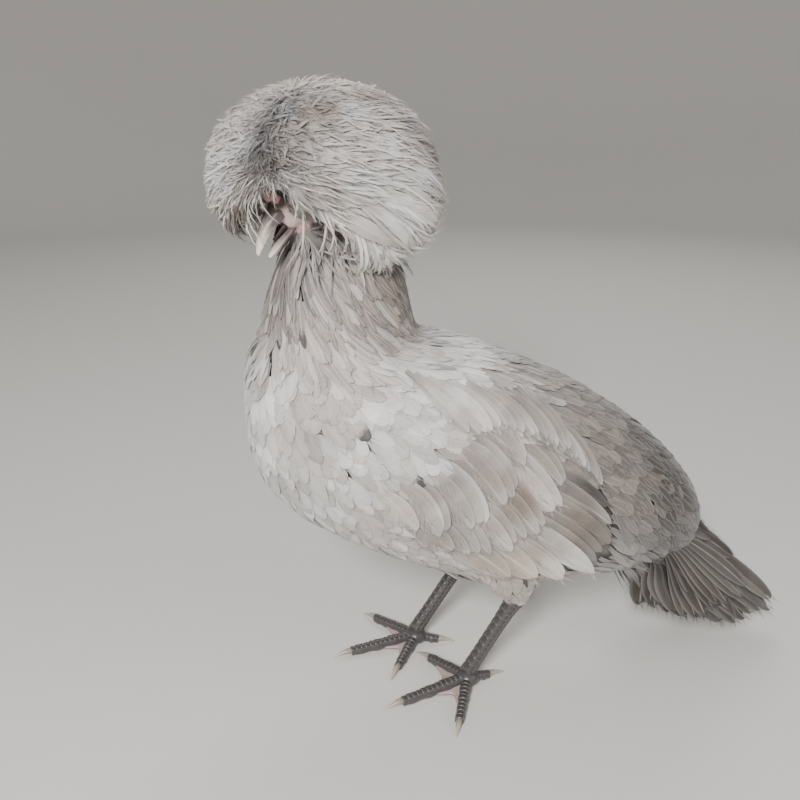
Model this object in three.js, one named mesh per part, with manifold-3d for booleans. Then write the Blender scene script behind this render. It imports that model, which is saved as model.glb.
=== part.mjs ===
// A life-size crested hen standing still, as a scene graph of closed solids, in millimetres, +Z up.
// The hen faces -X and its left side faces -Y. The origin is on the floor under the middle of its box.
import * as THREE from "three";
import { mergeVertices } from "three/addons/utils/BufferGeometryUtils.js";
import Module from "manifold-3d";

const wasm = await Module();
wasm.setup();

// Driving dimensions
const GAP = 0.35; // between a piece and the piece that it grows from
const MIDDLE = new THREE.Vector3(-64.9, 3.04, 0); // brings the middle of the box onto the origin
const SIDES = [
  { name: "left", y: -1 },
  { name: "right", y: 1 },
];

// Torso in its plumage, from breast to rump: x, top, bottom, half width
const TORSO = [
  [-128, 206, 206, 0],
  [-125, 238, 172, 27],
  [-114, 257, 150, 44],
  [-95, 264, 130, 57],
  [-65, 262, 112, 67],
  [-30, 255, 96, 72],
  [5, 248, 82, 72],
  [40, 236, 74, 69],
  [78, 219, 72, 63],
  [112, 200, 74, 55],
  [145, 176, 77, 44],
  [172, 149, 84, 32],
  [187, 124, 92, 19],
  [192, 106, 106, 0],
];
// Powers of the torso's section, across and up: 2 is an ellipse, more is squarer
const TORSO_ROUND = { across: 2.25, up: 2.1 };
const TORSO_RINGS = 24;
const TORSO_POINTS = 20;

// Neck in its hackle, upwards: x, y, z, half length, half width
const NECK = [
  [-66, 0, 214, 0, 0],
  [-66, 0, 216, 44, 36],
  [-67, 0, 238, 52, 43],
  [-67, -1, 258, 48, 40],
  [-67, -2, 278, 43, 36],
  [-66, -3, 294, 39, 32],
  [-69, -4, 309, 30, 25],
  [-72, -5, 321, 20, 17],
  [-73, -5, 325, 0, 0],
];
const NECK_RINGS = 12;
const NECK_POINTS = 18;

// Head, turned to its left and bent down
const HEAD_AT = new THREE.Vector3(-84, -8, 341);
const HEAD_TURN = THREE.MathUtils.degToRad(36);
const HEAD_BEND = THREE.MathUtils.degToRad(32);
// along the head from nape to beak base: distance, half width, height up, height down
const HEAD = [
  [-25, 0, 0, 0],
  [-23, 9, 10, 9],
  [-14, 17, 18, 16],
  [-2, 19.5, 21, 17],
  [10, 17, 17, 14.5],
  [19, 12.5, 12.5, 11.5],
  [24, 8.5, 9, 9],
  [26, 0, 0, 0],
];
const HEAD_RINGS = 10;
const HEAD_POINTS = 14;
const EYE_RADIUS = 4.6;
const EYE_PLACE = { along: 9, out: 14.2, up: 4.5 };

const LID_RADIUS = 5.2;
const LID_THICK = 1.1;
const LID_OUT = 1.2; // from the eye's middle to the rim's
const LID_FORWARD = 0.35; // how far the eye looks forward, as a slope
// Small pieces of the face: place on the head and half sizes, each as along, out, up
const EARLOBE = { at: [-4, 18.2, -6], half: [4.6, 2.2, 4] };
const WATTLE = { at: [16, 6.4, -12.5], half: [4.4, 2.3, 5] };
const COMB_HORN = { root: [20.5, 1.8, 7.5], tip: [23.5, 5.6, 15.5], radii: [2.6, 2.9, 2.2, 0.9] };

// Beak: distance along the head, drop, half width, half height
const BEAK_UPPER = [
  [17, 1.5, 5.5, 4.5],
  [24, 1.6, 6.6, 5.6],
  [31, 0.9, 5.6, 4.9],
  [38, -1.2, 4.2, 3.8],
  [44, -4.4, 2.7, 2.6],
  [48.5, -8.6, 0.9, 1.1],
];
const BEAK_LOWER = [
  [16, -9, 5, 2.4],
  [23, -10.3, 5.8, 2.7],
  [31, -12.2, 4.6, 2.4],
  [38, -14.2, 3, 1.8],
  [43, -15.8, 0.9, 0.8],
];

const BEAK_RINGS = { upper: 8, lower: 6 };
const BEAK_FLAT = 0.3; // height of the face that meets the other half, as a share of the outer face's
// Nostril: a soft cover on the upper half and the slit under it
const NOSTRIL_COVER = { at: [27, 4.5, 4.9], half: [4.2, 1.6, 1.5] };
const NOSTRIL_SLIT = { at: [27.6, 5.9, 3.3], half: [2.4, 1.3, 0.6] };

// Crest: a globe of feathers that sprout from the crown
const CREST_AT = new THREE.Vector3(-73, -2, 352);
const CREST_HALF = new THREE.Vector3(68, 62, 51);
const CREST_RISE = 1.16; // the upper half of the globe is this much higher than the lower
const CREST_CORE_AT = new THREE.Vector3(-74, -3, 357);
const CREST_CORE_HALF = new THREE.Vector3(31, 28, 22);
const CREST_PARTING = 52; // heading of the parting, in degrees from -X towards the hen's left
const CREST_SWEEP = 15; // how far the tips beside the parting fall away from it, in degrees
const CREST_SWEEP_REACH = 45; // within about this heading from the parting
const CREST_ARCH = 2.2; // the higher, the sooner a feather rises from the core to the globe
const CREST_WAIST = 85; // angle from which the lowest feathers start to hang out
const CREST_ROOT = 0.75; // depth of the roots, as a share of the core's size
// Tiers of the crest, from the top: number of feathers, angles of the roots and of the tips down from the
// top, width
const CREST_TIERS = [
  [4, 6, 40, 24],
  [8, 13, 58, 24],
  [9, 23, 76, 26],
  [11, 33, 94, 26],
  [11, 43, 112, 25],
  [9, 53, 132, 23],
];
// Where the crest ends: heading, angle of the lowest tips, how far those hang out from the globe
const CREST_RIM = [
  [-180, 108, 1.1],
  [-150, 118, 1.06],
  [-120, 128, 1],
  [-60, 118, 1],
  [-25, 124, 1.08],
  [0, 126, 1.12],
  [22, 116, 1.08],
  [45, 109, 1.02],
  [70, 103, 1],
  [88, 116, 1],
  [108, 132, 1],
  [128, 124, 1.04],
  [146, 138, 1.27],
  [162, 128, 1.22],
  [180, 108, 1.1],
];
const CREST_RIM_BAND = 14; // a tier ends the crest where its tips are within this angle of the rim
const CREST_CLEAR = 1; // from the crest to the beak
// The open space before the face, on the head: its middle and half sizes
const FACE_AT = { along: 34, up: -16 };
const FACE_HALF = new THREE.Vector3(34, 20, 22);

// Legs, each from the hip to the foot, with each toe's heading in degrees from -X towards the hen's left
const LEGS = {
  left: {
    hip: [42, -34, 112],
    hock: [49, -37, 70],
    foot: [16, -37, 11],
    toes: { second: -52, middle: 17, outer: 70, hind: 196 },
  },
  right: {
    hip: [24, 32, 112],
    hock: [27, 27, 66],
    foot: [-13, 16, 11],
    toes: { second: 60, middle: 10, outer: -48, hind: 170 },
  },
};
// Thigh: shares of the way from the hip to the hock, and the radius there
const THIGH_SHARES = [-0.02, 0, 0.25, 0.5, 0.75, 0.95, 1.08, 1.1];
const THIGH_RADII = [0, 18, 23, 22, 16, 10.5, 7.2, 0];
const SHANK_RADIUS = 5.3;
const SHANK_TOP = 1.12; // share of the radius at the hock's end
const HOCK_JOINT = 1.25;
const SHANK_SCUTES = 12;
// Scute: share of its step that it covers, and its radius at the upper and lower edge
const SCUTE = { length: 0.86, upper: 0.94, lower: 1.07 };
// Toe: length without the claw, radius at the root and at the end, number of scutes
const TOES = {
  second: [36, 4.3, 3.3, 6],
  middle: [51, 4.6, 3.4, 9],
  outer: [41, 4.2, 3.2, 7],
  hind: [17, 3.8, 3.1, 3],
};
const TOE_START = { out: 3, up: 2.2 }; // where a toe's middle line leaves the foot
const PALM = { height: 6.6, radius: 7.2 };
const CLAW_LENGTH = 10;
const CLAW_RADII = [2, 2.1, 1.4, 0.35];
const CLAW_TIP = 1; // height of its tip off the floor
const SOLE = 0.78; // share of its radius at which a toe's middle line runs above the floor

// Wing feathers, in tiers that each lie over the next: the line of the roots and the line of the tips in
// the side view, from the lowest feather to the uppermost, the number, width and height off the torso
const WING_TIERS = [
  {
    roots: [[-34, 150], [28, 210]],
    tips: [[36, 103], [66, 98], [92, 98], [104, 112], [102, 134], [90, 160], [74, 184]],
    count: 8,
    width: 23,
    lift: 2.9,
  },
  {
    roots: [[-46, 164], [22, 220]],
    tips: [[-4, 130], [22, 124], [46, 136], [62, 158], [64, 186]],
    count: 7,
    width: 22,
    lift: 5.7,
  },
  {
    roots: [[-54, 180], [16, 228]],
    tips: [[-28, 148], [-4, 144], [22, 156], [38, 180], [42, 206]],
    count: 7,
    width: 20,
    lift: 8.4,
  },
];
const WING_BOW = 0.05; // rise of each feather's arch, as a share of its length
const WING_HANG = -0.45;
const WING_ROOT_LIFT = 1.8; // every wing feather's root is this far off the torso
// The wing's shoulder, which the feathers grow from: x, top, bottom, height off the torso
const SHOULDER = [
  [-70, 196, 180, 1],
  [-64, 214, 164, 3.4],
  [-50, 228, 148, 6.4],
  [-28, 238, 140, 8.2],
  [0, 240, 152, 8],
  [24, 236, 188, 6.6],
  [36, 228, 208, 3.4],
];
const SHOULDER_RIM = 1.2; // height of its edges off the torso
const SHOULDER_SINK = 3; // depth of its inner face, before the torso is cut away

// Tail feathers on each side, in sheets from the ridge down to the lowest: roots and tips of the first and
// the last feather, how far the sheet swells between them, number, width and height off the sheet
const TAIL_TIERS = [
  {
    roots: [[174, 6, 96], [172, 18, 72]],
    tips: [[268, 7, 22], [206, 33, 34]],
    swell: 5,
    count: 5,
    width: 26,
    lift: 0,
  },
  {
    roots: [[172, 6, 98], [170, 18, 76]],
    tips: [[228, 7, 62], [190, 31, 46]],
    swell: 5,
    count: 4,
    width: 23,
    lift: 3,
  },
  {
    roots: [[170, 6, 68], [148, 18, 70]],
    tips: [[186, 8, 42], [136, 28, 60]],
    swell: 3,
    count: 3,
    width: 24,
    lift: 0,
  },
];
const TAIL_ARCH = 16; // four times the rise of a tail feather's middle
const TAIL_CORE = { at: [166, 0, 80], half: [32, 22, 19] };

const VANE_THICK = 0.55;
const VANE_TIP = 0.6; // thickness of the tip, as a share
// Seeds of the small differences between feathers
const SEEDS = { crest: 12, wing: 23, tail: 5 };
// Height of a vane's edges over and under its middle
const CREST_SLANT = 1.2;
const WING_SLANT = 0.95;
const TAIL_SLANT = 1.5;
// Along each vane from root to tip: share of its length, and share of its full width
const VANE_SHAPE = [
  [0, 0.32],
  [0.3, 0.78],
  [0.6, 1],
  [0.87, 0.82],
  [1, 0.26],
];

const plumage = (color, roughness = 0.75) =>
  new THREE.MeshStandardMaterial({ color, roughness, metalness: 0 });
const MATERIALS = {
  body: plumage(0xb9b1ab),
  neck: plumage(0xada39c),
  crest: plumage(0xb4aca6),
  wing: plumage(0xbdb8b4),
  tail: plumage(0x958d87),
  face: plumage(0xd9a9a6, 0.6),
  comb: plumage(0xb8605c, 0.55),
  earlobe: plumage(0xe6ddd6, 0.6),
  beak: plumage(0xcdbfae, 0.45),
  eye: plumage(0x8a4a1e, 0.1),
  shank: plumage(0x6f7378, 0.5),
  claw: plumage(0xa39a92, 0.45),
};

// A smooth curve through rows of numbers, t from 0 to 1, with each row at an equal step of t.
function along(rows, t) {
  const last = rows.length - 1;
  const at = Math.min(Math.max(t, 0), 1) * last;
  const i = Math.min(Math.floor(at), last - 1);
  const f = at - i;
  const [a, b, c, d] = [-1, 0, 1, 2].map((k) => rows[Math.min(Math.max(i + k, 0), last)]);
  return b.map((_, k) => {
    const slope0 = (c[k] - a[k]) / 2;
    const slope1 = (d[k] - b[k]) / 2;
    const rise = c[k] - b[k];
    return b[k] + f * (slope0 + f * (3 * rise - 2 * slope0 - slope1 + f * (slope0 + slope1 - 2 * rise)));
  });
}

// A closed geometry from rings of points, the first and last ring each closed by a fan.
function skin(rings) {
  const n = rings[0].length;
  const points = rings.flat();
  const index = [];
  for (let r = 0; r + 1 < rings.length; r++)
    for (let k = 0; k < n; k++) {
      const [a, b] = [r * n + k, r * n + ((k + 1) % n)];
      index.push(a, b, b + n, a, b + n, a + n);
    }
  for (const [ring, facing] of [[0, 1], [rings.length - 1, -1]]) {
    const middle = rings[ring].reduce((s, p) => s.add(p), new THREE.Vector3()).divideScalar(n);
    points.push(middle);
    for (let k = 0; k < n; k++) {
      const [a, b] = [ring * n + k, ring * n + ((k + 1) % n)];
      index.push(points.length - 1, facing > 0 ? b : a, facing > 0 ? a : b);
    }
  }
  const geometry = new THREE.BufferGeometry().setFromPoints(points);
  geometry.setIndex(index);
  return geometry;
}

// A manifold solid from a closed three.js geometry, with triangles that have shrunk to a line left out.
function solid(geometry) {
  const bare = geometry.clone();
  for (const name of Object.keys(bare.attributes)) if (name !== "position") bare.deleteAttribute(name);
  const merged = mergeVertices(bare, 1e-4);
  const faces = [];
  for (let i = 0; i < merged.index.count; i += 3) {
    const [a, b, c] = [0, 1, 2].map((k) => merged.index.getX(i + k));
    if (a !== b && b !== c && c !== a) faces.push(a, b, c);
  }
  const made = new wasm.Manifold(
    new wasm.Mesh({
      numProp: 3,
      vertProperties: new Float32Array(merged.attributes.position.array),
      triVerts: new Uint32Array(faces),
    }),
  );
  if (made.volume() > 0) return made;
  for (let i = 0; i < faces.length; i += 3) [faces[i + 1], faces[i + 2]] = [faces[i + 2], faces[i + 1]];
  return new wasm.Manifold(
    new wasm.Mesh({
      numProp: 3,
      vertProperties: new Float32Array(merged.attributes.position.array),
      triVerts: new Uint32Array(faces),
    }),
  );
}

const join = (pieces) => wasm.Manifold.union(pieces);
const cut = (piece, ...tools) => tools.reduce((made, tool) => made.subtract(tool), piece);

// The largest closed body of a solid.
function largest(piece) {
  return piece.decompose().reduce((best, one) => (one.volume() > best.volume() ? one : best));
}

const round = (power, x) => Math.sign(x) * Math.abs(x) ** (2 / power);
const angles = (n) => Array.from({ length: n }, (_, k) => (2 * Math.PI * k) / n);
const steps = (n) => Array.from({ length: n + 1 }, (_, k) => k / n);
const point = (x, y, z) => new THREE.Vector3(x, y, z);
const between = (a, b, t) => a.map((v, k) => v + (b[k] - v) * t);

// How far a grown loft's first and last ring move outwards
const endPush = (t, extra) => (t === 0 ? -extra : t === 1 ? extra : 0);

// Torso
function torso(extra = 0) {
  const rings = steps(TORSO_RINGS).map((t) => {
    const [x, top, bottom, half] = along(TORSO, t);
    const grown = Math.min(half, 1) * extra;
    const [middle, height] = [(top + bottom) / 2, (top - bottom) / 2];
    return angles(TORSO_POINTS).map((a) =>
      point(
        x + endPush(t, extra),
        round(TORSO_ROUND.across, Math.cos(a)) * (half + grown),
        middle + round(TORSO_ROUND.up, Math.sin(a)) * (height + grown),
      ),
    );
  });
  return solid(skin(rings));
}

// The share of the torso's length at which it has a given x
function torsoShare(x) {
  let [low, high] = [0, 1];
  for (let i = 0; i < 30; i++) {
    const mid = (low + high) / 2;
    if (along(TORSO, mid)[0] < x) low = mid;
    else high = mid;
  }
  return low;
}

// How far the torso's side stands out from its middle plane at a place in the side view. Below the share
// WING_HANG of the torso's half height a wing hangs straight down.
function torsoSide(x, z) {
  const [, top, bottom, half] = along(TORSO, torsoShare(x));
  const [middle, height] = [(top + bottom) / 2, Math.max((top - bottom) / 2, 1)];
  const v = Math.min(Math.max((z - middle) / height, WING_HANG), 1);
  return half * Math.max(1 - Math.abs(v) ** TORSO_ROUND.up, 0) ** (1 / TORSO_ROUND.across);
}

// Neck
function neck(extra = 0) {
  const rings = steps(NECK_RINGS).map((t) => {
    const [x, y, z, long, wide] = along(NECK, t);
    const grown = Math.min(wide, 1) * extra;
    return angles(NECK_POINTS).map((a) =>
      point(x + Math.cos(a) * (long + grown), y + Math.sin(a) * (wide + grown), z),
    );
  });
  return solid(skin(rings));
}

// Axes of the head: along to the beak, out to its left, up
const HEAD_ALONG = point(
  -Math.cos(HEAD_TURN) * Math.cos(HEAD_BEND),
  -Math.sin(HEAD_TURN) * Math.cos(HEAD_BEND),
  -Math.sin(HEAD_BEND),
);
const HEAD_OUT = point(Math.sin(HEAD_TURN), -Math.cos(HEAD_TURN), 0);
const HEAD_UP = new THREE.Vector3().crossVectors(HEAD_OUT, HEAD_ALONG).multiplyScalar(-1);
const onHead = (far, out, up) =>
  HEAD_AT.clone()
    .addScaledVector(HEAD_ALONG, far)
    .addScaledVector(HEAD_OUT, out)
    .addScaledVector(HEAD_UP, up);

function head(extra = 0) {
  const rings = steps(HEAD_RINGS).map((t) => {
    const [far, wide, up, down] = along(HEAD, t);
    const grown = Math.min(wide, 1) * extra;
    return angles(HEAD_POINTS).map((a) =>
      onHead(
        far + endPush(t, extra),
        Math.cos(a) * (wide + grown),
        Math.sin(a) * ((Math.sin(a) > 0 ? up : down) + grown),
      ),
    );
  });
  return solid(skin(rings));
}

function ball(centre, radius, detail = 7) {
  const made = new THREE.SphereGeometry(radius, detail * 2, detail);
  made.translate(centre.x, centre.y, centre.z);
  return solid(made);
}

const eyeAt = (side) => onHead(EYE_PLACE.along, -side.y * EYE_PLACE.out, EYE_PLACE.up);

// An oval pad on the head, its half sizes along the head's own axes
function pad({ at: [far, out, up], half }, side, extra = 0, detail = 5) {
  const made = new THREE.SphereGeometry(1, detail * 2, detail + 1);
  made.scale(half[0] + extra, half[1] + extra, half[2] + extra);
  made.applyMatrix4(new THREE.Matrix4().makeBasis(HEAD_ALONG, HEAD_OUT, HEAD_UP));
  const at = onHead(far, -side.y * out, up);
  made.translate(at.x, at.y, at.z);
  return solid(made);
}

// The rim of the lids round an eye
function lids(side, extra = 0) {
  const ring = new THREE.TorusGeometry(LID_RADIUS, LID_THICK + extra, 4, 12);
  const out = HEAD_OUT.clone().multiplyScalar(-side.y).addScaledVector(HEAD_ALONG, LID_FORWARD).normalize();
  ring.applyQuaternion(new THREE.Quaternion().setFromUnitVectors(point(0, 0, 1), out));
  const at = eyeAt(side).addScaledVector(out, LID_OUT);
  ring.translate(at.x, at.y, at.z);
  return solid(ring);
}

// Comb: two small horns that part in a V before the crest
function comb(extra = 0) {
  const { root, tip, radii } = COMB_HORN;
  const horns = SIDES.map((side) => {
    const spot = ([far, out, up]) => onHead(far, -side.y * out, up).toArray();
    const [a, b] = [spot(root), spot(tip)];
    const line = [a, between(a, b, 0.35), between(a, b, 0.75), b];
    return solid(limb(line, radii.map((r) => r + extra), 5, 8));
  });
  return join(horns);
}

// Beak half: a tapered horn along the head
function horn(rows, rings, flat) {
  return solid(
    skin(
      steps(rings).map((t) => {
        const [far, up, wide, high] = along(rows, t);
        return angles(10).map((a) =>
          onHead(far, Math.cos(a) * wide, up + Math.sin(a) * high * (Math.sin(a) * flat > 0 ? 1 : BEAK_FLAT)),
        );
      }),
    ),
  );
}

// The soft covers of the nostrils
const nostrilCovers = (extra = 0) => SIDES.map((side) => pad(NOSTRIL_COVER, side, extra, 4));

function beakUpper(space) {
  const slits = SIDES.map((side) => pad(NOSTRIL_SLIT, side, 0, 4));
  return cut(join([horn(BEAK_UPPER, BEAK_RINGS.upper, 1), ...nostrilCovers()]), ...slits, space);
}

// A source of repeatable numbers between -1 and 1
function chance(seed) {
  let state = seed;
  return () => {
    state = (Math.imul(state, 1664525) + 1013904223) >>> 0;
    return (state / 4294967296) * 2 - 1;
  };
}

// A feather's vane: a thin blade between two edges, with its face's direction at each place, split into
// triangles alike on both faces
function vane(places) {
  const points = [];
  const index = [];
  const last = places.length - 1;
  places.forEach(({ edges: [a, b], face }, i) => {
    const half = (i === last ? VANE_TIP : 1) * (VANE_THICK / 2);
    for (const [edge, up] of [[a, half], [b, half], [b, -half], [a, -half]])
      points.push(edge.clone().addScaledVector(face, up));
  });
  for (let i = 0; i < last; i++) {
    const [a, b] = [i * 4, i * 4 + 4];
    index.push(a, a + 1, b + 1, a, b + 1, b);
    index.push(a + 1, a + 2, b + 2, a + 1, b + 2, b + 1);
    index.push(a + 2, a + 3, b + 2, a + 3, b + 3, b + 2);
    index.push(a + 3, a, b, a + 3, b, b + 3);
  }
  const end = last * 4;
  index.push(0, 3, 2, 0, 2, 1, end, end + 1, end + 2, end, end + 2, end + 3);
  const geometry = new THREE.BufferGeometry().setFromPoints(points);
  geometry.setIndex(index);
  return solid(geometry);
}

// One vane on a sheet, where sheet(t, v) is a point: t runs along the feather and v across the sheet. It
// lies aslant, so that one edge is over its neighbour's.
function vaneOn(sheet, v, width, slant, facing = 1) {
  const step = 0.005;
  return vane(
    VANE_SHAPE.map(([t, share]) => {
      const across = sheet(t, v + step).sub(sheet(t, v - step)).divideScalar(2 * step);
      const ahead = sheet(t + step, v).sub(sheet(t - step, v));
      const face = across.clone().cross(ahead).normalize().multiplyScalar(facing);
      const reach = ((width / 2) * share) / across.length();
      const edges = [-1, 1].map((d) => sheet(t, v + d * reach).addScaledVector(face, -d * share * slant));
      return { edges, face };
    }),
  );
}

// The open space before the face, which the crest hangs round
function faceSpace() {
  const space = new THREE.SphereGeometry(1, 20, 12);
  space.scale(FACE_HALF.x, FACE_HALF.y, FACE_HALF.z);
  space.applyMatrix4(new THREE.Matrix4().makeBasis(HEAD_ALONG, HEAD_OUT, HEAD_UP));
  const at = onHead(FACE_AT.along, 0, FACE_AT.up);
  space.translate(at.x, at.y, at.z);
  return solid(space);
}

// Both halves of the beak with the nostrils' covers, grown
function beakRoom(extra) {
  const grow = (rows) => rows.map(([far, up, wide, high]) => [far, up, wide + extra, high + extra]);
  return join([
    horn(grow(BEAK_UPPER), BEAK_RINGS.upper, 1),
    horn(grow(BEAK_LOWER), BEAK_RINGS.lower, -1),
    ...nostrilCovers(extra),
  ]);
}

const downAndRound = (down, heading) => {
  const [a, b] = [down, heading].map(THREE.MathUtils.degToRad);
  return point(-Math.sin(a) * Math.cos(b), -Math.sin(a) * Math.sin(b), Math.cos(a));
};

// The crest's end at a heading: angle of the lowest tips and how far they hang out
function crestRim(heading) {
  const i = Math.max(CREST_RIM.findIndex((row) => row[0] >= heading), 1);
  const [a, b] = [CREST_RIM[i - 1], CREST_RIM[i]];
  return between(a, b, (heading - a[0]) / (b[0] - a[0])).slice(1);
}

// One feather of the crest, from the crown out over the globe to its tip
function crestVane(heading, first, reach, hang, width, twist) {
  const sheet = (t, v) => {
    const off = v - CREST_PARTING;
    const sweep = Math.sign(off) * CREST_SWEEP * Math.exp(-Math.abs(off) / CREST_SWEEP_REACH) + twist;
    const down = first + (reach - first) * t;
    const low = reach > CREST_WAIST ? Math.max((down - CREST_WAIST) / (reach - CREST_WAIST), 0) ** 1.5 : t;
    const shell = downAndRound(down, v + sweep * t * t)
      .multiply(CREST_HALF)
      .multiplyScalar(1 + (hang - 1) * low);
    shell.z *= shell.z > 0 ? CREST_RISE : 1;
    shell.add(CREST_AT);
    const root = downAndRound(first, v).multiply(CREST_CORE_HALF).multiplyScalar(CREST_ROOT);
    root.add(CREST_CORE_AT);
    return root.lerp(shell, 1 - Math.max(1 - t, 0) ** CREST_ARCH);
  };
  return vaneOn(sheet, heading, width, CREST_SLANT);
}

// Crest: a core round the crown and tiers of long feathers that fall from it on all sides
function crest() {
  const next = chance(SEEDS.crest);
  const core = new THREE.SphereGeometry(1, 16, 10);
  core.scale(CREST_CORE_HALF.x, CREST_CORE_HALF.y, CREST_CORE_HALF.z);
  core.translate(CREST_CORE_AT.x, CREST_CORE_AT.y, CREST_CORE_AT.z);
  const vanes = [];
  CREST_TIERS.forEach(([count, first, tips, width], tier) => {
    for (let i = 0; i < count; i++) {
      const heading = -180 + (360 * (i + 0.5 * (tier % 2) + 0.15 * next())) / count;
      const [lowest, hang] = crestRim(heading);
      const reach = Math.min(tips + 5 * next(), lowest + 3 * next());
      const shell = 1 + 0.008 * next() + (tips > lowest - CREST_RIM_BAND ? hang - 1 : 0);
      const [wide, twist] = [width * (1 + 0.1 * next()), 4 * next()];
      if (tips < lowest + CREST_RIM_BAND) vanes.push(crestVane(heading, first, reach, shell, wide, twist));
    }
  });
  return join([solid(core), ...vanes]);
}

// A place on a broken line of rows, t from 0 to 1, and beyond both ends in a straight line
function onLine(rows, t) {
  const at = t * (rows.length - 1);
  const i = Math.min(Math.max(Math.floor(at), 0), rows.length - 2);
  return between(rows[i], rows[i + 1], at - i);
}

// Wing: the shoulder and three tiers of feathers, the flights under the coverts
function wing(side) {
  const next = chance(SEEDS.wing);
  const pad = steps(9).map((t) => {
    const [x, top, bottom, proud] = along(SHOULDER, t);
    const outer = steps(6).map((s) => {
      const z = top + (bottom - top) * s;
      const swell = proud * Math.sin(Math.PI * (0.1 + 0.8 * s));
      return point(x, side.y * (torsoSide(x, z) + swell + SHOULDER_RIM), z);
    });
    const inner = steps(6).map((s) => {
      const z = bottom + (top - bottom) * s;
      return point(x, side.y * (torsoSide(x, z) - SHOULDER_SINK), z);
    });
    return [...outer, ...inner];
  });
  const vanes = WING_TIERS.flatMap(({ roots, tips, count, width, lift }) =>
    steps(count - 1).map((v) => {
      const longer = 0.02 * next();
      const sheet = (t, at) => {
        const [root, tip] = [onLine(roots, at), onLine(tips, at)];
        const [dx, dz] = [tip[0] - root[0], tip[1] - root[1]];
        const arch = WING_BOW * 4 * t * (1 - t);
        const far = t * (1 + longer);
        const [x, z] = [root[0] + dx * far - dz * arch, root[1] + dz * far + dx * arch];
        const height = WING_ROOT_LIFT + (lift - WING_ROOT_LIFT) * Math.min(t * 4, 1);
        return point(x, side.y * (torsoSide(x, z) + height), z);
      };
      return vaneOn(sheet, v, width * (1 + 0.04 * next()), WING_SLANT, side.y);
    }),
  );
  return join([solid(skin(pad)), ...vanes]);
}

// Tail: a core behind the rump, with feathers leaning like a roof on both sides
function tail() {
  const next = chance(SEEDS.tail);
  const core = new THREE.SphereGeometry(1, 16, 10);
  core.scale(...TAIL_CORE.half);
  core.translate(...TAIL_CORE.at);
  const vanes = SIDES.flatMap((side) =>
    TAIL_TIERS.flatMap(({ roots, tips, swell, count, width, lift }) =>
      steps(count - 1).map((v) => {
        const longer = 1 + 0.03 * next();
        const sheet = (t, at) => {
          const [x, y, z] = between(between(...roots, at), between(...tips, at), t * longer);
          const bulge = Math.sin(Math.PI * Math.min(Math.max(at, 0), 1)) * swell * (0.4 + 0.6 * t);
          const arch = TAIL_ARCH * t * (1 - t);
          return point(x + 0.3 * lift, side.y * (y + bulge + 0.8 * lift), z + arch + 0.55 * lift);
        };
        return vaneOn(sheet, v, width * (1 + 0.05 * next()), TAIL_SLANT, side.y);
      }),
    ),
  );
  return join([solid(core), ...vanes]);
}

// A round limb through points, with a radius at each
function limb(points, radii, rings, sides) {
  const rows = points.map((p, i) => [...p, radii[i]]);
  const centre = (t) => point(...along(rows, t).slice(0, 3));
  return skin(
    steps(rings).map((t) => {
      const radius = along(rows, t)[3];
      const ahead = centre(Math.min(t + 0.01, 1)).sub(centre(Math.max(t - 0.01, 0))).normalize();
      const out = point(0, 1, 0).cross(ahead).normalize();
      const other = new THREE.Vector3().crossVectors(ahead, out);
      return angles(sides).map((a) =>
        centre(t)
          .addScaledVector(out, Math.cos(a) * radius)
          .addScaledVector(other, Math.sin(a) * radius),
      );
    }),
  );
}

function thigh(leg, extra = 0) {
  const radii = THIGH_RADII.map((r) => (r ? r + extra : 0));
  return solid(limb(THIGH_SHARES.map((s) => between(leg.hip, leg.hock, s)), radii, 9, 12));
}

// A stepped tube, each step one scute that stands proud at its lower edge
function scuted(from, to, radii, scutes, sides, extra = 0) {
  const rings = [];
  const ahead = point(...to).sub(point(...from)).normalize();
  const out = point(0, 0, 1).cross(ahead).normalize();
  const up = new THREE.Vector3().crossVectors(ahead, out);
  for (let i = 0; i < scutes; i++) {
    const end = i < scutes - 1 ? (i + SCUTE.length) / scutes : 1;
    for (const [share, proud] of [[i / scutes, SCUTE.upper], [end, SCUTE.lower]]) {
      const radius = (radii[0] + (radii[1] - radii[0]) * share) * proud + extra;
      rings.push(
        angles(sides).map((a) =>
          point(...between(from, to, share))
            .addScaledVector(out, Math.cos(a + Math.PI / sides) * radius)
            .addScaledVector(up, Math.sin(a + Math.PI / sides) * radius),
        ),
      );
    }
  }
  return skin(rings);
}

const floorCut = solid(new THREE.BoxGeometry(600, 400, 100).translate(60, 0, -50));

function shank(leg, extra = 0) {
  return join([
    solid(scuted(leg.hock, leg.foot, [SHANK_RADIUS * SHANK_TOP, SHANK_RADIUS], SHANK_SCUTES, 8, extra)),
    ball(point(...leg.hock), SHANK_RADIUS * HOCK_JOINT + extra, 6),
  ]);
}

const heading = (degrees) => {
  const a = THREE.MathUtils.degToRad(degrees);
  return [-Math.cos(a), -Math.sin(a)];
};

function toePoints(leg, name) {
  const [length, thick, thin] = TOES[name];
  const [dx, dy] = heading(leg.toes[name]);
  const [x, y] = leg.foot;
  const root = [x + dx * TOE_START.out, y + dy * TOE_START.out, thick * SOLE + TOE_START.up];
  const end = [x + dx * length, y + dy * length, thin * SOLE];
  return { root, end, dx, dy };
}

function foot(leg) {
  const toes = Object.keys(TOES).map((name) => {
    const [, thick, thin, scutes] = TOES[name];
    const { root, end } = toePoints(leg, name);
    return solid(scuted(root, end, [thick, thin], scutes, 6));
  });
  const palm = ball(point(leg.foot[0], leg.foot[1], PALM.height), PALM.radius, 6);
  return cut(join([...toes, palm]), floorCut);
}

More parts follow.
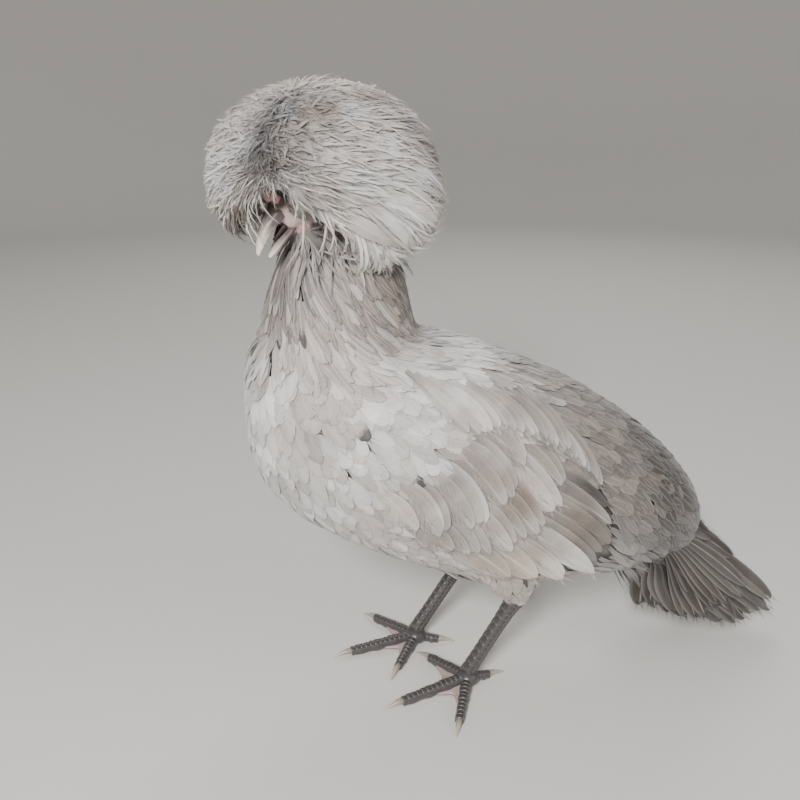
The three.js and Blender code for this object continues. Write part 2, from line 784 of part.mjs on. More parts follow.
function claw(leg, name) {
  const [, , thin] = TOES[name];
  const { end, dx, dy } = toePoints(leg, name);
  const place = (far, z) => [end[0] + dx * far, end[1] + dy * far, z];
  const line = [
    place(0, thin * 0.95),
    place(CLAW_LENGTH * 0.35, thin * 1.05),
    place(CLAW_LENGTH * 0.75, thin * 0.75),
    place(CLAW_LENGTH + thin, CLAW_TIP),
  ];
  return solid(limb(line, CLAW_RADII, 4, 6));
}

// Assembly
const hen = new THREE.Group();
hen.name = "crested_hen";
hen.position.copy(MIDDLE);

function add(name, piece, material) {
  const { vertProperties, triVerts, numProp } = largest(piece).getMesh();
  const positions = new Float32Array((vertProperties.length / numProp) * 3);
  for (let i = 0; i < positions.length / 3; i++)
    positions.set(vertProperties.subarray(i * numProp, i * numProp + 3), i * 3);
  const geometry = new THREE.BufferGeometry();
  geometry.setAttribute("position", new THREE.BufferAttribute(positions, 3));
  geometry.setIndex(new THREE.BufferAttribute(triVerts, 1));
  geometry.computeVertexNormals();
  const mesh = new THREE.Mesh(geometry, material);
  mesh.name = name;
  hen.add(mesh);
}

const torsoSpace = torso(GAP);
const headSpace = head(GAP);
const neckSpace = neck(GAP);
const eyes = SIDES.map((side) => ball(eyeAt(side), EYE_RADIUS));
const eyeSpaces = SIDES.map((side) => ball(eyeAt(side), EYE_RADIUS + GAP));
const beakSpace = beakRoom(GAP);

add("torso", torso(), MATERIALS.body);
add("neck", cut(neck(), torsoSpace, headSpace), MATERIALS.neck);
add("head", cut(join([head(), ...SIDES.map((side) => lids(side))]), ...eyeSpaces), MATERIALS.face);
add("beak_upper", beakUpper(headSpace), MATERIALS.beak);
add("beak_lower", cut(horn(BEAK_LOWER, BEAK_RINGS.lower, -1), headSpace), MATERIALS.beak);
add("comb", cut(comb(), headSpace, beakSpace), MATERIALS.comb);
const pieces = [comb(GAP)];
SIDES.forEach((side, i) => {
  const suffix = "_" + side.name;
  add("eye" + suffix, eyes[i], MATERIALS.eye);
  add("wattle" + suffix, cut(pad(WATTLE, side), headSpace, beakSpace, neckSpace), MATERIALS.comb);
  add("earlobe" + suffix, cut(pad(EARLOBE, side), headSpace, neckSpace, eyeSpaces[i]), MATERIALS.earlobe);
  pieces.push(pad(WATTLE, side, GAP), pad(EARLOBE, side, GAP), lids(side, GAP));
});
const faceSpaces = [...eyeSpaces, ...pieces, beakRoom(CREST_CLEAR), faceSpace()];
add("crest", cut(crest(), headSpace, neckSpace, torsoSpace, ...faceSpaces), MATERIALS.crest);
for (const side of SIDES)
  add("wing_" + side.name, cut(wing(side), torsoSpace, thigh(LEGS[side.name], GAP)), MATERIALS.wing);
add("tail", cut(tail(), torsoSpace), MATERIALS.tail);

for (const side of SIDES) {
  const leg = LEGS[side.name];
  const suffix = "_" + side.name;
  add("thigh" + suffix, cut(thigh(leg), torsoSpace), MATERIALS.body);
  add("shank" + suffix, cut(shank(leg), thigh(leg, GAP), torsoSpace), MATERIALS.shank);
  add("foot" + suffix, cut(foot(leg), shank(leg, GAP)), MATERIALS.shank);
  for (const name of Object.keys(TOES)) {
    const [, thick, thin, scutes] = TOES[name];
    const { root, end } = toePoints(leg, name);
    const clear = between(root, end, 1 + GAP / Math.hypot(end[0] - root[0], end[1] - root[1]));
    const toeSpace = solid(scuted(root, clear, [thick, thin], scutes, 6, GAP));
    add("claw_" + name + suffix, cut(claw(leg, name), toeSpace, floorCut), MATERIALS.claw);
  }
}

export default hen;
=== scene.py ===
import math

import bpy
import numpy as np
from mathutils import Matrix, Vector
from mathutils.bvhtree import BVHTree


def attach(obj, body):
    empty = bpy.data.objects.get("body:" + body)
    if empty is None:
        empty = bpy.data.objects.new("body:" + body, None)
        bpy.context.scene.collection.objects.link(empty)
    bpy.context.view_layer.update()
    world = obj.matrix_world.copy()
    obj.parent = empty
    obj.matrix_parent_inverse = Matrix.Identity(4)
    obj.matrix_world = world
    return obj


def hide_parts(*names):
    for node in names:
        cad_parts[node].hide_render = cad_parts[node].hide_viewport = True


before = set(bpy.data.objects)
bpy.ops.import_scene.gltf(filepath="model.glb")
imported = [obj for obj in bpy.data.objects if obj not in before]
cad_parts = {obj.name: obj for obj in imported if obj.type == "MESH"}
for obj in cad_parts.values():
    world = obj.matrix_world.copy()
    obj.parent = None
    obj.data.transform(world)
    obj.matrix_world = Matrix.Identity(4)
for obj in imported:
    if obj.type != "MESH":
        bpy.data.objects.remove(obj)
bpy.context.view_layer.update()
MIDDLE = np.array([-64.9, 3.04, 0.0])
SIDES = {"left": -1.0, "right": 1.0}

# Torso: x, top, bottom, half width
TORSO = [
    [-128, 206, 206, 0],
    [-125, 238, 172, 27],
    [-114, 257, 150, 44],
    [-95, 264, 130, 57],
    [-65, 262, 112, 67],
    [-30, 255, 96, 72],
    [5, 248, 82, 72],
    [40, 236, 74, 69],
    [78, 219, 72, 63],
    [112, 200, 74, 55],
    [145, 176, 77, 44],
    [172, 149, 84, 32],
    [187, 124, 92, 19],
    [192, 106, 106, 0],
]

# Head, turned to its left and bent down
HEAD_AT = np.array([-84.0, -8.0, 341.0])
HEAD_TURN = math.radians(36)
HEAD_BEND = math.radians(32)
EYE_RADIUS = 4.6
EYE_PLACE = (9.0, 14.2, 4.5)
BEAK_UPPER = [
    [17, 0.8, 6.0, 5.4],
    [24, 0.7, 6.8, 6.4],
    [31, -0.4, 5.8, 6.0],
    [38, -2.8, 4.4, 5.0],
    [44, -6.0, 2.9, 3.5],
    [48.5, -9.4, 1.0, 1.5],
]
BEAK_LOWER = [
    [16, -8.6, 5, 2.8],
    [23, -9.6, 5.8, 3.2],
    [31, -11.4, 4.6, 3.0],
    [38, -13.4, 3.1, 2.2],
    [43, -15.0, 1.0, 1.0],
]

# Crest: a globe of feathers from the crown
CREST_AT = np.array([-73.0, -2.0, 352.0])
CREST_HALF = np.array([68.0, 62.0, 51.0])
CREST_CORE_AT = np.array([-74.0, -3.0, 357.0])
CREST_CORE_HALF = np.array([31.0, 28.0, 22.0])
# Heading, angle of the lowest tips down from the top, how far those hang out
CREST_RIM = np.array([
    [-180, 108, 1.1],
    [-150, 118, 1.06],
    [-120, 128, 1],
    [-60, 118, 1],
    [-25, 122, 1.04],
    [0, 122, 1.07],
    [22, 117, 1.05],
    [38, 107, 1],
    [50, 96, 1],
    [72, 92, 1],
    [90, 108, 1],
    [108, 128, 1],
    [128, 121, 1.04],
    [146, 136, 1.27],
    [162, 126, 1.2],
    [180, 108, 1.1],
])

# Wing: lines of the roots and tips in the side view, number, width, height off the torso
WING_TIERS = {
    "flights": ([[-34, 150], [28, 210]],
                [[36, 103], [66, 98], [92, 98], [104, 112], [102, 134], [90, 160], [74, 184]], 14, 19, 2.6),
    "greater": ([[-46, 164], [22, 220]], [[-4, 130], [22, 124], [46, 136], [62, 158], [64, 186]], 14, 16,
                4.6),
    "median": ([[-54, 180], [16, 228]], [[-28, 148], [-4, 144], [22, 156], [38, 180], [42, 206]], 14, 15,
               6.4),
    "scapulars": ([[-24, 236], [52, 216]], [[24, 204], [48, 198], [72, 184], [90, 168]], 15, 11, 7.0),
    "shoulder": ([[-30, 240], [44, 224]], [[4, 208], [26, 208], [50, 200], [68, 190]], 15, 10, 8.0),
}
# Pad under the shoulder feathers: x, top, bottom, how proud of the torso
SHOULDER = [
    [-70, 196, 180, 1],
    [-64, 214, 164, 3.4],
    [-50, 228, 148, 6.4],
    [-28, 238, 140, 8.2],
    [0, 240, 152, 8],
    [24, 236, 188, 6.6],
    [36, 228, 208, 3.4],
]
# The part of the wing that its large feathers cover, in the side view
WING_ZONE = [
    (-58, 174), (18, 230), (50, 208), (78, 186), (94, 160), (104, 134), (106, 110), (92, 96), (36, 100),
    (-36, 144),
]

# Tail sheets: roots and tips of the first and last feather, swell, number, width, height off the sheet
TAIL_TIERS = [
    ([[174, 2, 96], [172, 18, 72]], [[268, 1, 22], [206, 33, 34]], 5, 7, 25, 0),
    ([[172, 0, 98], [170, 18, 76]], [[228, -1, 62], [190, 31, 46]], 5, 7, 20, 3),
    ([[166, -1, 104], [162, 20, 84]], [[204, -3, 82], [176, 30, 58]], 5, 7, 17, 5),
    ([[170, 16, 82], [150, 22, 80]], [[216, 30, 30], [150, 31, 52]], 3, 8, 19, 2),
    ([[172, 8, 72], [150, 16, 74]], [[214, 20, 24], [146, 24, 46]], 3, 7, 19, 0),
    ([[160, 12, 100], [156, 22, 86]], [[226, 18, 50], [172, 34, 40]], 5, 9, 15, 7),
]
TAIL_CORE = ((166, 0, 80), (32, 22, 19))

LEGS = {
    "left": {
        "hock": (49, -37, 70),
        "foot": (16, -37, 11),
        "toes": {"second": -52, "middle": 17, "outer": 70, "hind": 196},
    },
    "right": {
        "hock": (27, 27, 66),
        "foot": (-13, 16, 11),
        "toes": {"second": 60, "middle": 10, "outer": -48, "hind": 170},
    },
}
SHANK_RADIUS = 5.3
# Toes: length, radius at the root and at the end, then the places of the joints and the number of scutes
TOES = {"second": (36, 4.3, 3.3), "middle": (51, 4.6, 3.4), "outer": (41, 4.2, 3.2), "hind": (17, 3.8, 3.1)}
TOE_JOINTS = {"second": (0.38, 0.78), "middle": (0.3, 0.58, 0.85), "outer": (0.25, 0.48, 0.7, 0.9),
              "hind": (0.7,)}
TOE_SCUTES = {"second": 9, "middle": 13, "outer": 11, "hind": 4}
CLAW_LENGTH = 10
SOLE = 0.78


def metres(points):
    return (np.asarray(points, float) + MIDDLE) / 1000


def unit(v):
    return v / np.maximum(np.linalg.norm(v, axis=-1, keepdims=True), 1e-9)


def smooth_step(low, high, x):
    s = np.clip((x - low) / (high - low), 0, 1)
    return s * s * (3 - 2 * s)


def along(rows, t):
    """A smooth curve through rows, each an equal step of t."""
    rows = np.asarray(rows, float)
    last = len(rows) - 1
    at = np.clip(np.asarray(t, float), 0, 1) * last
    i = np.minimum(at.astype(int), last - 1)
    f = (at - i)[..., None]
    a, b, c, d = (rows[np.clip(i + k, 0, last)] for k in (-1, 0, 1, 2))
    slope0, slope1, rise = (c - a) / 2, (d - b) / 2, c - b
    return b + f * (slope0 + f * (3 * rise - 2 * slope0 - slope1 + f * (slope0 + slope1 - 2 * rise)))


def on_line(rows, t):
    """A place on a broken line, in a straight line past both ends."""
    rows = np.asarray(rows, float)
    at = np.asarray(t, float) * (len(rows) - 1)
    i = np.clip(np.floor(at).astype(int), 0, len(rows) - 2)
    return rows[i] + (rows[i + 1] - rows[i]) * (at - i)[..., None]


TORSO_TABLE = along(TORSO, np.linspace(0, 1, 600))


LOWEST_SIDE = -0.45


def torso_side(x, z):
    """How far the torso's side stands out from its middle plane at a place in the side view."""
    top, bottom, half = (np.interp(x, TORSO_TABLE[:, 0], TORSO_TABLE[:, k]) for k in (1, 2, 3))
    v = np.clip((z - (top + bottom) / 2) / np.maximum((top - bottom) / 2, 1), LOWEST_SIDE, 1)
    return half * np.maximum(1 - np.abs(v) ** 2.1, 0) ** (1 / 2.25)


HEAD_ALONG = np.array([
    -math.cos(HEAD_TURN) * math.cos(HEAD_BEND),
    -math.sin(HEAD_TURN) * math.cos(HEAD_BEND),
    -math.sin(HEAD_BEND),
])
HEAD_OUT = np.array([math.sin(HEAD_TURN), -math.cos(HEAD_TURN), 0.0])
HEAD_UP = -np.cross(HEAD_OUT, HEAD_ALONG)


def on_head(far, out, up):
    far, out, up = (np.asarray(v, float)[..., None] for v in (far, out, up))
    return HEAD_AT + HEAD_ALONG * far + HEAD_OUT * out + HEAD_UP * up


# Meshes
def new_mesh(name, points, faces, material, replaces, data, uv=None):
    """A piece from points in millimetres and arrays of faces. Its data belong to the points."""
    mesh = bpy.data.meshes.new(name)
    loops = np.concatenate([group.ravel() for group in faces])
    sizes = np.concatenate([np.full(len(group), group.shape[1]) for group in faces])
    starts = np.concatenate([[0], np.cumsum(sizes)[:-1]])
    mesh.vertices.add(len(points))
    mesh.vertices.foreach_set("co", metres(points).astype(np.float32).ravel())
    mesh.loops.add(len(loops))
    mesh.loops.foreach_set("vertex_index", loops.astype(np.int32))
    mesh.polygons.add(len(sizes))
    mesh.polygons.foreach_set("loop_start", starts.astype(np.int32))
    mesh.update(calc_edges=True)
    mesh.polygons.foreach_set("use_smooth", np.ones(len(sizes), bool))
    for key, values in data.items():
        if values.ndim == 2:
            made = mesh.attributes.new(key, "FLOAT_COLOR", "POINT")
            opaque = np.column_stack([values, np.ones(len(values))])
            made.data.foreach_set("color", opaque.astype(np.float32).ravel())
        else:
            made = mesh.attributes.new(key, "FLOAT", "POINT")
            made.data.foreach_set("value", values.astype(np.float32))
    if uv is not None:
        layer = mesh.uv_layers.new(name="OFBake")
        layer.data.foreach_set("uv", uv[loops].astype(np.float32).ravel())
    piece = bpy.data.objects.new(name, mesh)
    bpy.context.scene.collection.objects.link(piece)
    mesh.materials.append(material)
    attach(piece, "root")
    if replaces:
        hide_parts(*replaces)


def ring_faces(rings, n, first=0, caps=True):
    """Quads between rings of n points, and a fan of triangles at each end."""
    r, k = np.meshgrid(np.arange(rings - 1), np.arange(n), indexing="ij")
    a, b = first + r * n + k, first + r * n + (k + 1) % n
    quads = np.stack([a, b, b + n, a + n], -1).reshape(-1, 4)
    if not caps:
        return quads, np.zeros((0, 3), int)
    k = np.arange(1, n - 1)
    start = np.stack([np.full(n - 2, first), first + k + 1, first + k], -1)
    e = first + (rings - 1) * n
    end = np.stack([np.full(n - 2, e), e + k, e + k + 1], -1)
    return quads, np.concatenate([start, end])


class Shape:
    """Closed tubes and plates that are put together into one piece."""

    def __init__(self):
        self.points, self.quads, self.tris, self.data, self.count = [], [], [], [], 0

    def loft(self, rings, caps=True, value=0.0):
        rings = np.asarray(rings, float)
        quads, tris = ring_faces(rings.shape[0], rings.shape[1], self.count, caps)
        self.points.append(rings.reshape(-1, 3))
        self.quads.append(quads)
        self.tris.append(tris)
        self.count += rings.shape[0] * rings.shape[1]
        self.data.append(np.broadcast_to(value, rings.shape[:2]).reshape(-1))

    def make(self, name, material, slot, replaces=()):
        faces = [np.concatenate(self.quads), np.concatenate(self.tris)]
        faces = [group for group in faces if len(group)]
        tint = np.concatenate(self.data)
        new_mesh(name, np.concatenate(self.points), faces, material, replaces, {"tint": tint})


# Unwrap of the coat: span and corner of the views in millimetres, margin and used share of each, size of a
# feather
UV_SPAN = 430
UV_CORNER = (150, 100)
UV_MARGIN = 0.03
UV_USED = 0.9
UV_PATCH = 0.003


def unwrap(points, normals):
    """Places on six views of the body, side by side: left, right, top, bottom, front and back."""
    x, y = ((points[:, k] + UV_CORNER[k]) / UV_SPAN for k in (0, 1))
    z = points[:, 2] / UV_SPAN
    axis = np.argmax(np.abs(normals), axis=1)
    sign = np.take_along_axis(normals, axis[:, None], 1)[:, 0] > 0
    u = np.where(axis == 1, x, np.where(axis == 2, x, y))
    v = np.where(axis == 2, y, z)
    column = np.where(axis == 1, 0, np.where(axis == 2, 1, 2))
    return np.column_stack([(column + UV_MARGIN + UV_USED * u) / 3, (sign + UV_MARGIN + UV_USED * v) / 2])


rng = np.random.default_rng(41)


class Coat:
    """Blades of feathers, each a grid of points, put together into one piece."""

    def __init__(self):
        self.points, self.faces, self.values, self.uvs, self.count = [], [], [], [], 0

    def add(self, grid, colour, t, c, roots, normals, mark=0.0):
        """grid is feathers by stations by columns; t and c run along and across each blade."""
        n, k, m, _ = grid.shape
        i, a, b = np.meshgrid(np.arange(n), np.arange(k - 1), np.arange(m - 1), indexing="ij")
        start = self.count + i * k * m + a * m + b
        self.faces.append(np.stack([start, start + 1, start + m + 1, start + m], -1).reshape(-1, 4))
        self.points.append(grid.reshape(-1, 3))
        t = np.broadcast_to(t, (n, k, m)).reshape(-1)
        c = np.broadcast_to(c, (n, k, m)).reshape(-1)
        colour = np.broadcast_to(colour, (n, k, m, 3)).reshape(-1, 3)
        mark = np.broadcast_to(np.reshape(mark, (-1, 1, 1)), (n, k, m)).reshape(-1)
        place = np.repeat(unwrap(roots, normals), k * m, axis=0)
        self.uvs.append(place + UV_PATCH * np.column_stack([0.5 * c, t - 0.5]))
        self.values.append((colour, t, c, mark))
        self.count += n * k * m

    def make(self, name, material, slot, replaces=()):
        values = (np.concatenate(v) for v in zip(*self.values))
        data = dict(zip(("coat", "along", "across", "mark"), values))
        new_mesh(name, np.concatenate(self.points), [np.concatenate(self.faces)], material, replaces,
                 data, np.concatenate(self.uvs))


def outline(t, widest, root, tip):
    """Share of the full width along a feather, with a rounded tip."""
    rise = root + (1 - root) * smooth_step(0, widest, t)
    fall = np.sqrt(np.clip(1 - (np.clip(t - widest, 0, 1) / (1 - widest + 1e-6)) ** (2 / tip), 0, 1))
    return rise * fall


SHAFT_HEIGHT = 0.2


def blade(centre, across, face, width, share, columns, camber, rag):
    """Grids of points round centre lines, feathers by stations by columns, with ragged edges."""
    n, k, _ = centre.shape
    c = np.linspace(-1, 1, columns)
    half = (np.reshape(width, (-1, 1)) / 2 * share)[:, :, None]
    half = half * (1 + rag * rng.uniform(-1, 1, (n, k, 2))[:, :, (c > 0).astype(int)])
    out = half * c
    up = SHAFT_HEIGHT * (1 - np.abs(c)) ** 2 - camber * half * c * c * 2
    return centre[:, :, None] + across[:, :, None] * out[..., None] + face[:, :, None] * up[..., None]


# Colours, as light shares of red, green and blue
def rgb(r, g, b):
    s = np.array([r, g, b]) / 255
    return np.where(s <= 0.04045, s / 12.92, ((s + 0.055) / 1.055) ** 2.4)


SILVER = rgb(180, 176, 172)
WHITISH = rgb(226, 224, 221)
BROWN_GREY = rgb(104, 91, 82)
LAVENDER = rgb(150, 140, 137)
CREAM = rgb(190, 172, 150)
DUSK = rgb(62, 54, 48)
DARK = rgb(40, 37, 37)
QUILL = rgb(226, 219, 208)
NECK_FALL = rgb(164, 150, 144)
THROAT = rgb(96, 88, 86)
FACE_PINK = rgb(224, 198, 196)
FACE_RED = rgb(208, 142, 150)
EYE_RING = rgb(150, 118, 112)
NOSTRIL = rgb(84, 66, 70)


def mixed(a, b, f):
    return a + (b - a) * np.asarray(f)[..., None]


def spot(u, v, u0, wide, v0, high):
    """1 at a place, and falling off round it by its two half sizes."""
    return np.exp(-(((u - u0) / wide) ** 2 + ((v - v0) / high) ** 2))

# Dark marks of the plumage on the hen's left side: x, z and radius of the place whose feathers carry one
MARKS = np.array([
    [-69, 218, 4.5],
    [-2, 214, 4],
    [9, 198, 4],
    [-43, 190, 4.5],
    [-33, 182, 4],
    [-4, 166, 4],
    [60, 136, 11],
    [88, 118, 11],
    [82, 150, 11],
    [100, 124, 11],
    [-92, 290, 4],
    [-106, 278, 4],
])


def marked(p, share):
    """How dark the tips of the feathers are that grow at these places."""
    near = (p[:, None, 0] - MARKS[:, 0]) ** 2 + (p[:, None, 2] - MARKS[:, 1]) ** 2 < MARKS[:, 2] ** 2
    known = near.any(1) & (p[:, 1] < 0)
    stray = rng.random(len(p)) < share * (p[:, 1] > 0)
    return (known | stray) * rng.uniform(0.6, 0.95, len(p))


def coat_colour(p):
    """The body's markings at places in the hen's frame, with painted shade where the neck meets the back and
    towards the rump.
    """
    x, y, z = p[..., 0], np.abs(p[..., 1]), p[..., 2]
    wave = np.sin(x / 17 + 1.3 * np.sin(z / 23)) * np.cos(z / 19 + y / 31)
    fine = np.sin(x / 6.1 + 2 * np.cos(z / 8.3)) * np.sin(z / 7.7 + y / 9)
    c = np.broadcast_to(SILVER, p.shape).copy()
    c = mixed(c, LAVENDER, 0.75 * smooth_step(-0.1, 0.8, wave))
    c = mixed(c, WHITISH, 0.55 * smooth_step(0.1, 0.9, fine))
    neck = smooth_step(236, 272, z)
    c = mixed(c, mixed(LAVENDER, BROWN_GREY, 0.7 + 0.4 * wave), 0.95 * neck)
    c = mixed(c, NECK_FALL, 0.7 * spot(x, z, -72, 34, 245, 34))
    c = mixed(c, WHITISH, 0.85 * spot(x, z, 2, 26, 238, 14))
    c = mixed(c, WHITISH, 0.5 * spot(x, z, -18, 30, 222, 16))
    c = mixed(c, WHITISH,
              0.45 * smooth_step(-85, -115, x) * smooth_step(150, 190, z) * smooth_step(255, 235, z))
    c = mixed(c, BROWN_GREY, 0.8 * smooth_step(35, 90, x) * smooth_step(100, 140, z))
    c = mixed(c, DUSK, 0.85 * smooth_step(100, 160, x))
    flecks = np.sin(x / 8.0 - z / 15.0) * np.sin(z / 9.0 + x / 21.0)
    c = mixed(c, LAVENDER, 0.45 * smooth_step(0.2, 0.9, flecks))
    c = mixed(c, CREAM, 0.3 * smooth_step(110, 85, z) * smooth_step(120, 60, x))
    # painted shade where the neck's feathers overhang the back
    c = mixed(c, BROWN_GREY, 0.75 * spot(x, z, -22, 26, 262, 13))
    silk = np.sin(x / 3.7 + z / 5.9) * np.sin(z / 4.3 - x / 7.1)
    c = mixed(c, mixed(LAVENDER, CREAM, 0.5), 0.45 * smooth_step(0.25, 0.9, silk))
    c = mixed(c, THROAT, 0.55 * spot(x, z, -102, 12, 290, 14))
    # darker towards the rump and on the neck: partly the plumage's own colour, partly painted shade where the
    # light falls off towards the rump
    dim = 1 - 0.22 * smooth_step(15, 60, x) - 0.26 * smooth_step(80, 140, x) - 0.16 * neck
    return c * dim[..., None]


# Materials
def material(name, **sockets):
    made = bpy.data.materials.new(name)
    made.use_nodes = True
    shader = made.node_tree.nodes["Principled BSDF"]
    for key, value in sockets.items():
        shader.inputs[key.replace("_", " ")].default_value = value
    return made, made.node_tree, shader


def plug(tree, socket, value):
    """Link a socket to another one, or set its value."""
    if isinstance(value, bpy.types.NodeSocket):
        tree.links.new(value, socket)
    else:
        socket.default_value = value


def node(tree, kind, inputs=None, **settings):
    made = tree.nodes.new(kind)
    for key, value in settings.items():
        setattr(made, key, value)
    for key, value in (inputs or {}).items():
        plug(tree, made.inputs[key], value)
    return made


def math_node(tree, operation, a, b=0.0, c=0.0, clamp=False):
    return node(tree, "ShaderNodeMath", {0: a, 1: b, 2: c}, operation=operation, use_clamp=clamp).outputs[0]


def attribute(tree, name, output="Fac"):
    return node(tree, "ShaderNodeAttribute", attribute_name=name).outputs[output]


def mix_colour(tree, factor, a, b, blend="MIX"):
    made = node(tree, "ShaderNodeMix", data_type="RGBA", blend_type=blend)
    used = [s for s in made.inputs if s.enabled and (s.type == "RGBA" or s.name == "Factor")]
    for key, value in (("Factor", factor), ("A", a), ("B", b)):
        plug(tree, next(s for s in used if s.name == key), value)
    return next(s for s in made.outputs if s.type == "RGBA")


def noise(tree, scale, detail, rough=0.55):
    where = node(tree, "ShaderNodeTexCoord").outputs["Object"]
    inputs = {"Vector": where, "Scale": scale, "Detail": detail, "Roughness": rough}
    return node(tree, "ShaderNodeTexNoise", inputs).outputs["Fac"]


def swing(tree, value, strength):
    """A noise about nothing, with this much between its lowest and highest."""
    return math_node(tree, "MULTIPLY_ADD", value, strength, -strength / 2)


def map_range(tree, value, start, end, low, high, kind="SMOOTHSTEP"):
    inputs = {"Value": value, "From Min": start, "From Max": end, "To Min": low, "To Max": high}
    return node(tree, "ShaderNodeMapRange", inputs, interpolation_type=kind).outputs[0]


def darkened(tree, colour, shade):
    """A colour times a grey."""
    grey = node(tree, "ShaderNodeCombineColor", {0: shade, 1: shade, 2: shade}).outputs[0]
    return mix_colour(tree, 1.0, colour, grey, "MULTIPLY")


def finish(tree, shader, colour, height, strength, distance=0.0004):
    """The shader's colour, and its bumps from a height."""
    bump = node(tree, "ShaderNodeBump", {"Strength": strength, "Distance": distance, "Height": height})
    tree.links.new(bump.outputs["Normal"], shader.inputs["Normal"])
    tree.links.new(colour, shader.inputs["Base Color"])


def feather_material(name, shaft, edge, stripe_count, roughness, sheen, root_painted_shade=0.78):
    """Colour from the coat's markings, with a shaft, a pale edge, dark marks at the tips, fine barbs and
    painted shade towards the root.
    """
    made, tree, shader = material(name, Roughness=roughness, Sheen_Weight=sheen, Sheen_Roughness=0.5)
    t, c, mark = (attribute(tree, key) for key in ("along", "across", "mark"))
    off = math_node(tree, "ABSOLUTE", c)
    slant = math_node(tree, "MULTIPLY_ADD", off, -0.55, t)
    stripes = math_node(tree, "SINE", math_node(tree, "MULTIPLY", slant, stripe_count))
    fine = noise(tree, 900.0, 2.0)
    broad = noise(tree, 45.0, 3.0)
    shade = math_node(tree, "MULTIPLY_ADD", stripes, 0.055, 1.0)
    shade = math_node(tree, "ADD", shade, swing(tree, fine, 0.40))
    shade = math_node(tree, "ADD", shade, swing(tree, broad, 0.50))
    # painted shade towards the root, which the feathers above cover
    shade = math_node(tree, "MULTIPLY", shade, map_range(tree, t, 0.0, 0.75, root_painted_shade, 1.0))
    colour = darkened(tree, attribute(tree, "coat", "Color"), shade)
    rim = map_range(tree, off, 0.62, 1.0, 0.0, edge)
    colour = mix_colour(tree, rim, colour, (*WHITISH, 1))
    quill = map_range(tree, off, 0.12, 0.04, 0.0, shaft, "LINEAR")
    colour = mix_colour(tree, quill, colour, (*QUILL, 1))
    tip = map_range(tree, math_node(tree, "ADD", t, swing(tree, fine, 0.24)), 0.62, 0.84, 0.0, 1.0)
    colour = mix_colour(tree, math_node(tree, "MULTIPLY", tip, mark), colour, (*DARK, 1))
    height = math_node(tree, "ADD", math_node(tree, "MULTIPLY", stripes, 0.5), fine)
    finish(tree, shader, colour, height, 0.25)
    return made

# Feathers: strength of the shaft and of the pale edge, stripes of barbs, roughness, sheen, painted shade at
# the root, where the feathers above cover it
FEATHER = feather_material("contour_feather", 0.14, 0.14, 90.0, 0.46, 0.2, 0.84)
HACKLE = feather_material("hackle_feather", 0.40, 0.18, 60.0, 0.45, 0.2)
LONG = feather_material("flight_feather", 0.30, 0.12, 260.0, 0.42, 0.15, 0.7)
SOFT = feather_material("crest_feather", 0.22, 0.12, 120.0, 0.5, 0.3, 0.92)
DOWN = feather_material("fluff_feather", 0.10, 0.15, 80.0, 0.6, 0.3)
# The body's outer shape, and the skin under it. Head: how far forward, half width, height above and below
HEAD = [
    [-25, 0, 0, 0],
    [-23, 9, 10, 9],
    [-14, 17, 18, 16],
    [-2, 19.5, 21, 17],
    [10, 17, 17, 14.5],
    [19, 12.5, 12.5, 11.5],
    [24, 8.5, 9, 9],
    [26, 0, 0, 0],
]
COAT_DEPTH = 5.0
THIN_DEPTH = 1.8


def turn(n):
    """Angles of n even steps round a circle."""
    return np.arange(n) * 2 * math.pi / n


def head_rings(rings=40, n=48):
    a = turn(n)
    out = []
    for far, wide, up, down in along(HEAD, np.linspace(0, 1, rings)):
        high = np.where(np.sin(a) > 0, up, down)
        out.append(on_head(np.full(n, far), np.cos(a) * wide, np.sin(a) * high))
    return np.array(out)


def ellipsoid(centre, half, rings=18, n=28, axes=np.eye(3)):
    s = np.linspace(0.02, math.pi - 0.02, rings)[:, None]
    a = turn(n)
    p = np.stack(np.broadcast_arrays(np.cos(s), np.sin(s) * np.cos(a), np.sin(s) * np.sin(a)), -1)
    return np.asarray(centre) + (p * np.asarray(half)) @ np.asarray(axes)


def pad_rings(side):
    rings = []
    s = np.linspace(0, 1, 10)
    for x, top, bottom, proud in along(SHOULDER, np.linspace(0, 1, 14)):
        z = top + (bottom - top) * s
        beside = torso_side(x, z)
        outward = beside + 0.8 * proud * np.sin(math.pi * (0.1 + 0.8 * s))
        across = side * np.concatenate([outward, (beside - 8)[::-1]])
        rings.append(np.stack([np.full(2 * len(s), x), across, np.concatenate([z, z[::-1]])], -1))
    return np.array(rings)


def cad_shape(name):
    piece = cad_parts[name]
    mesh = piece.data
    points = np.empty(len(mesh.vertices) * 3)
    mesh.vertices.foreach_get("co", points)
    world = np.array(piece.matrix_world)
    points = points.reshape(-1, 3) @ world[:3, :3].T + world[:3, 3]
    mesh.calc_loop_triangles()
    faces = np.empty(len(mesh.loop_triangles) * 3, np.int32)
    mesh.loop_triangles.foreach_get("vertices", faces)
    return points * 1000 - MIDDLE, faces.reshape(-1, 3)


def ring_shape(rings):
    quads, tris = ring_faces(rings.shape[0], rings.shape[1])
    return rings.reshape(-1, 3), quads.tolist() + tris.tolist()


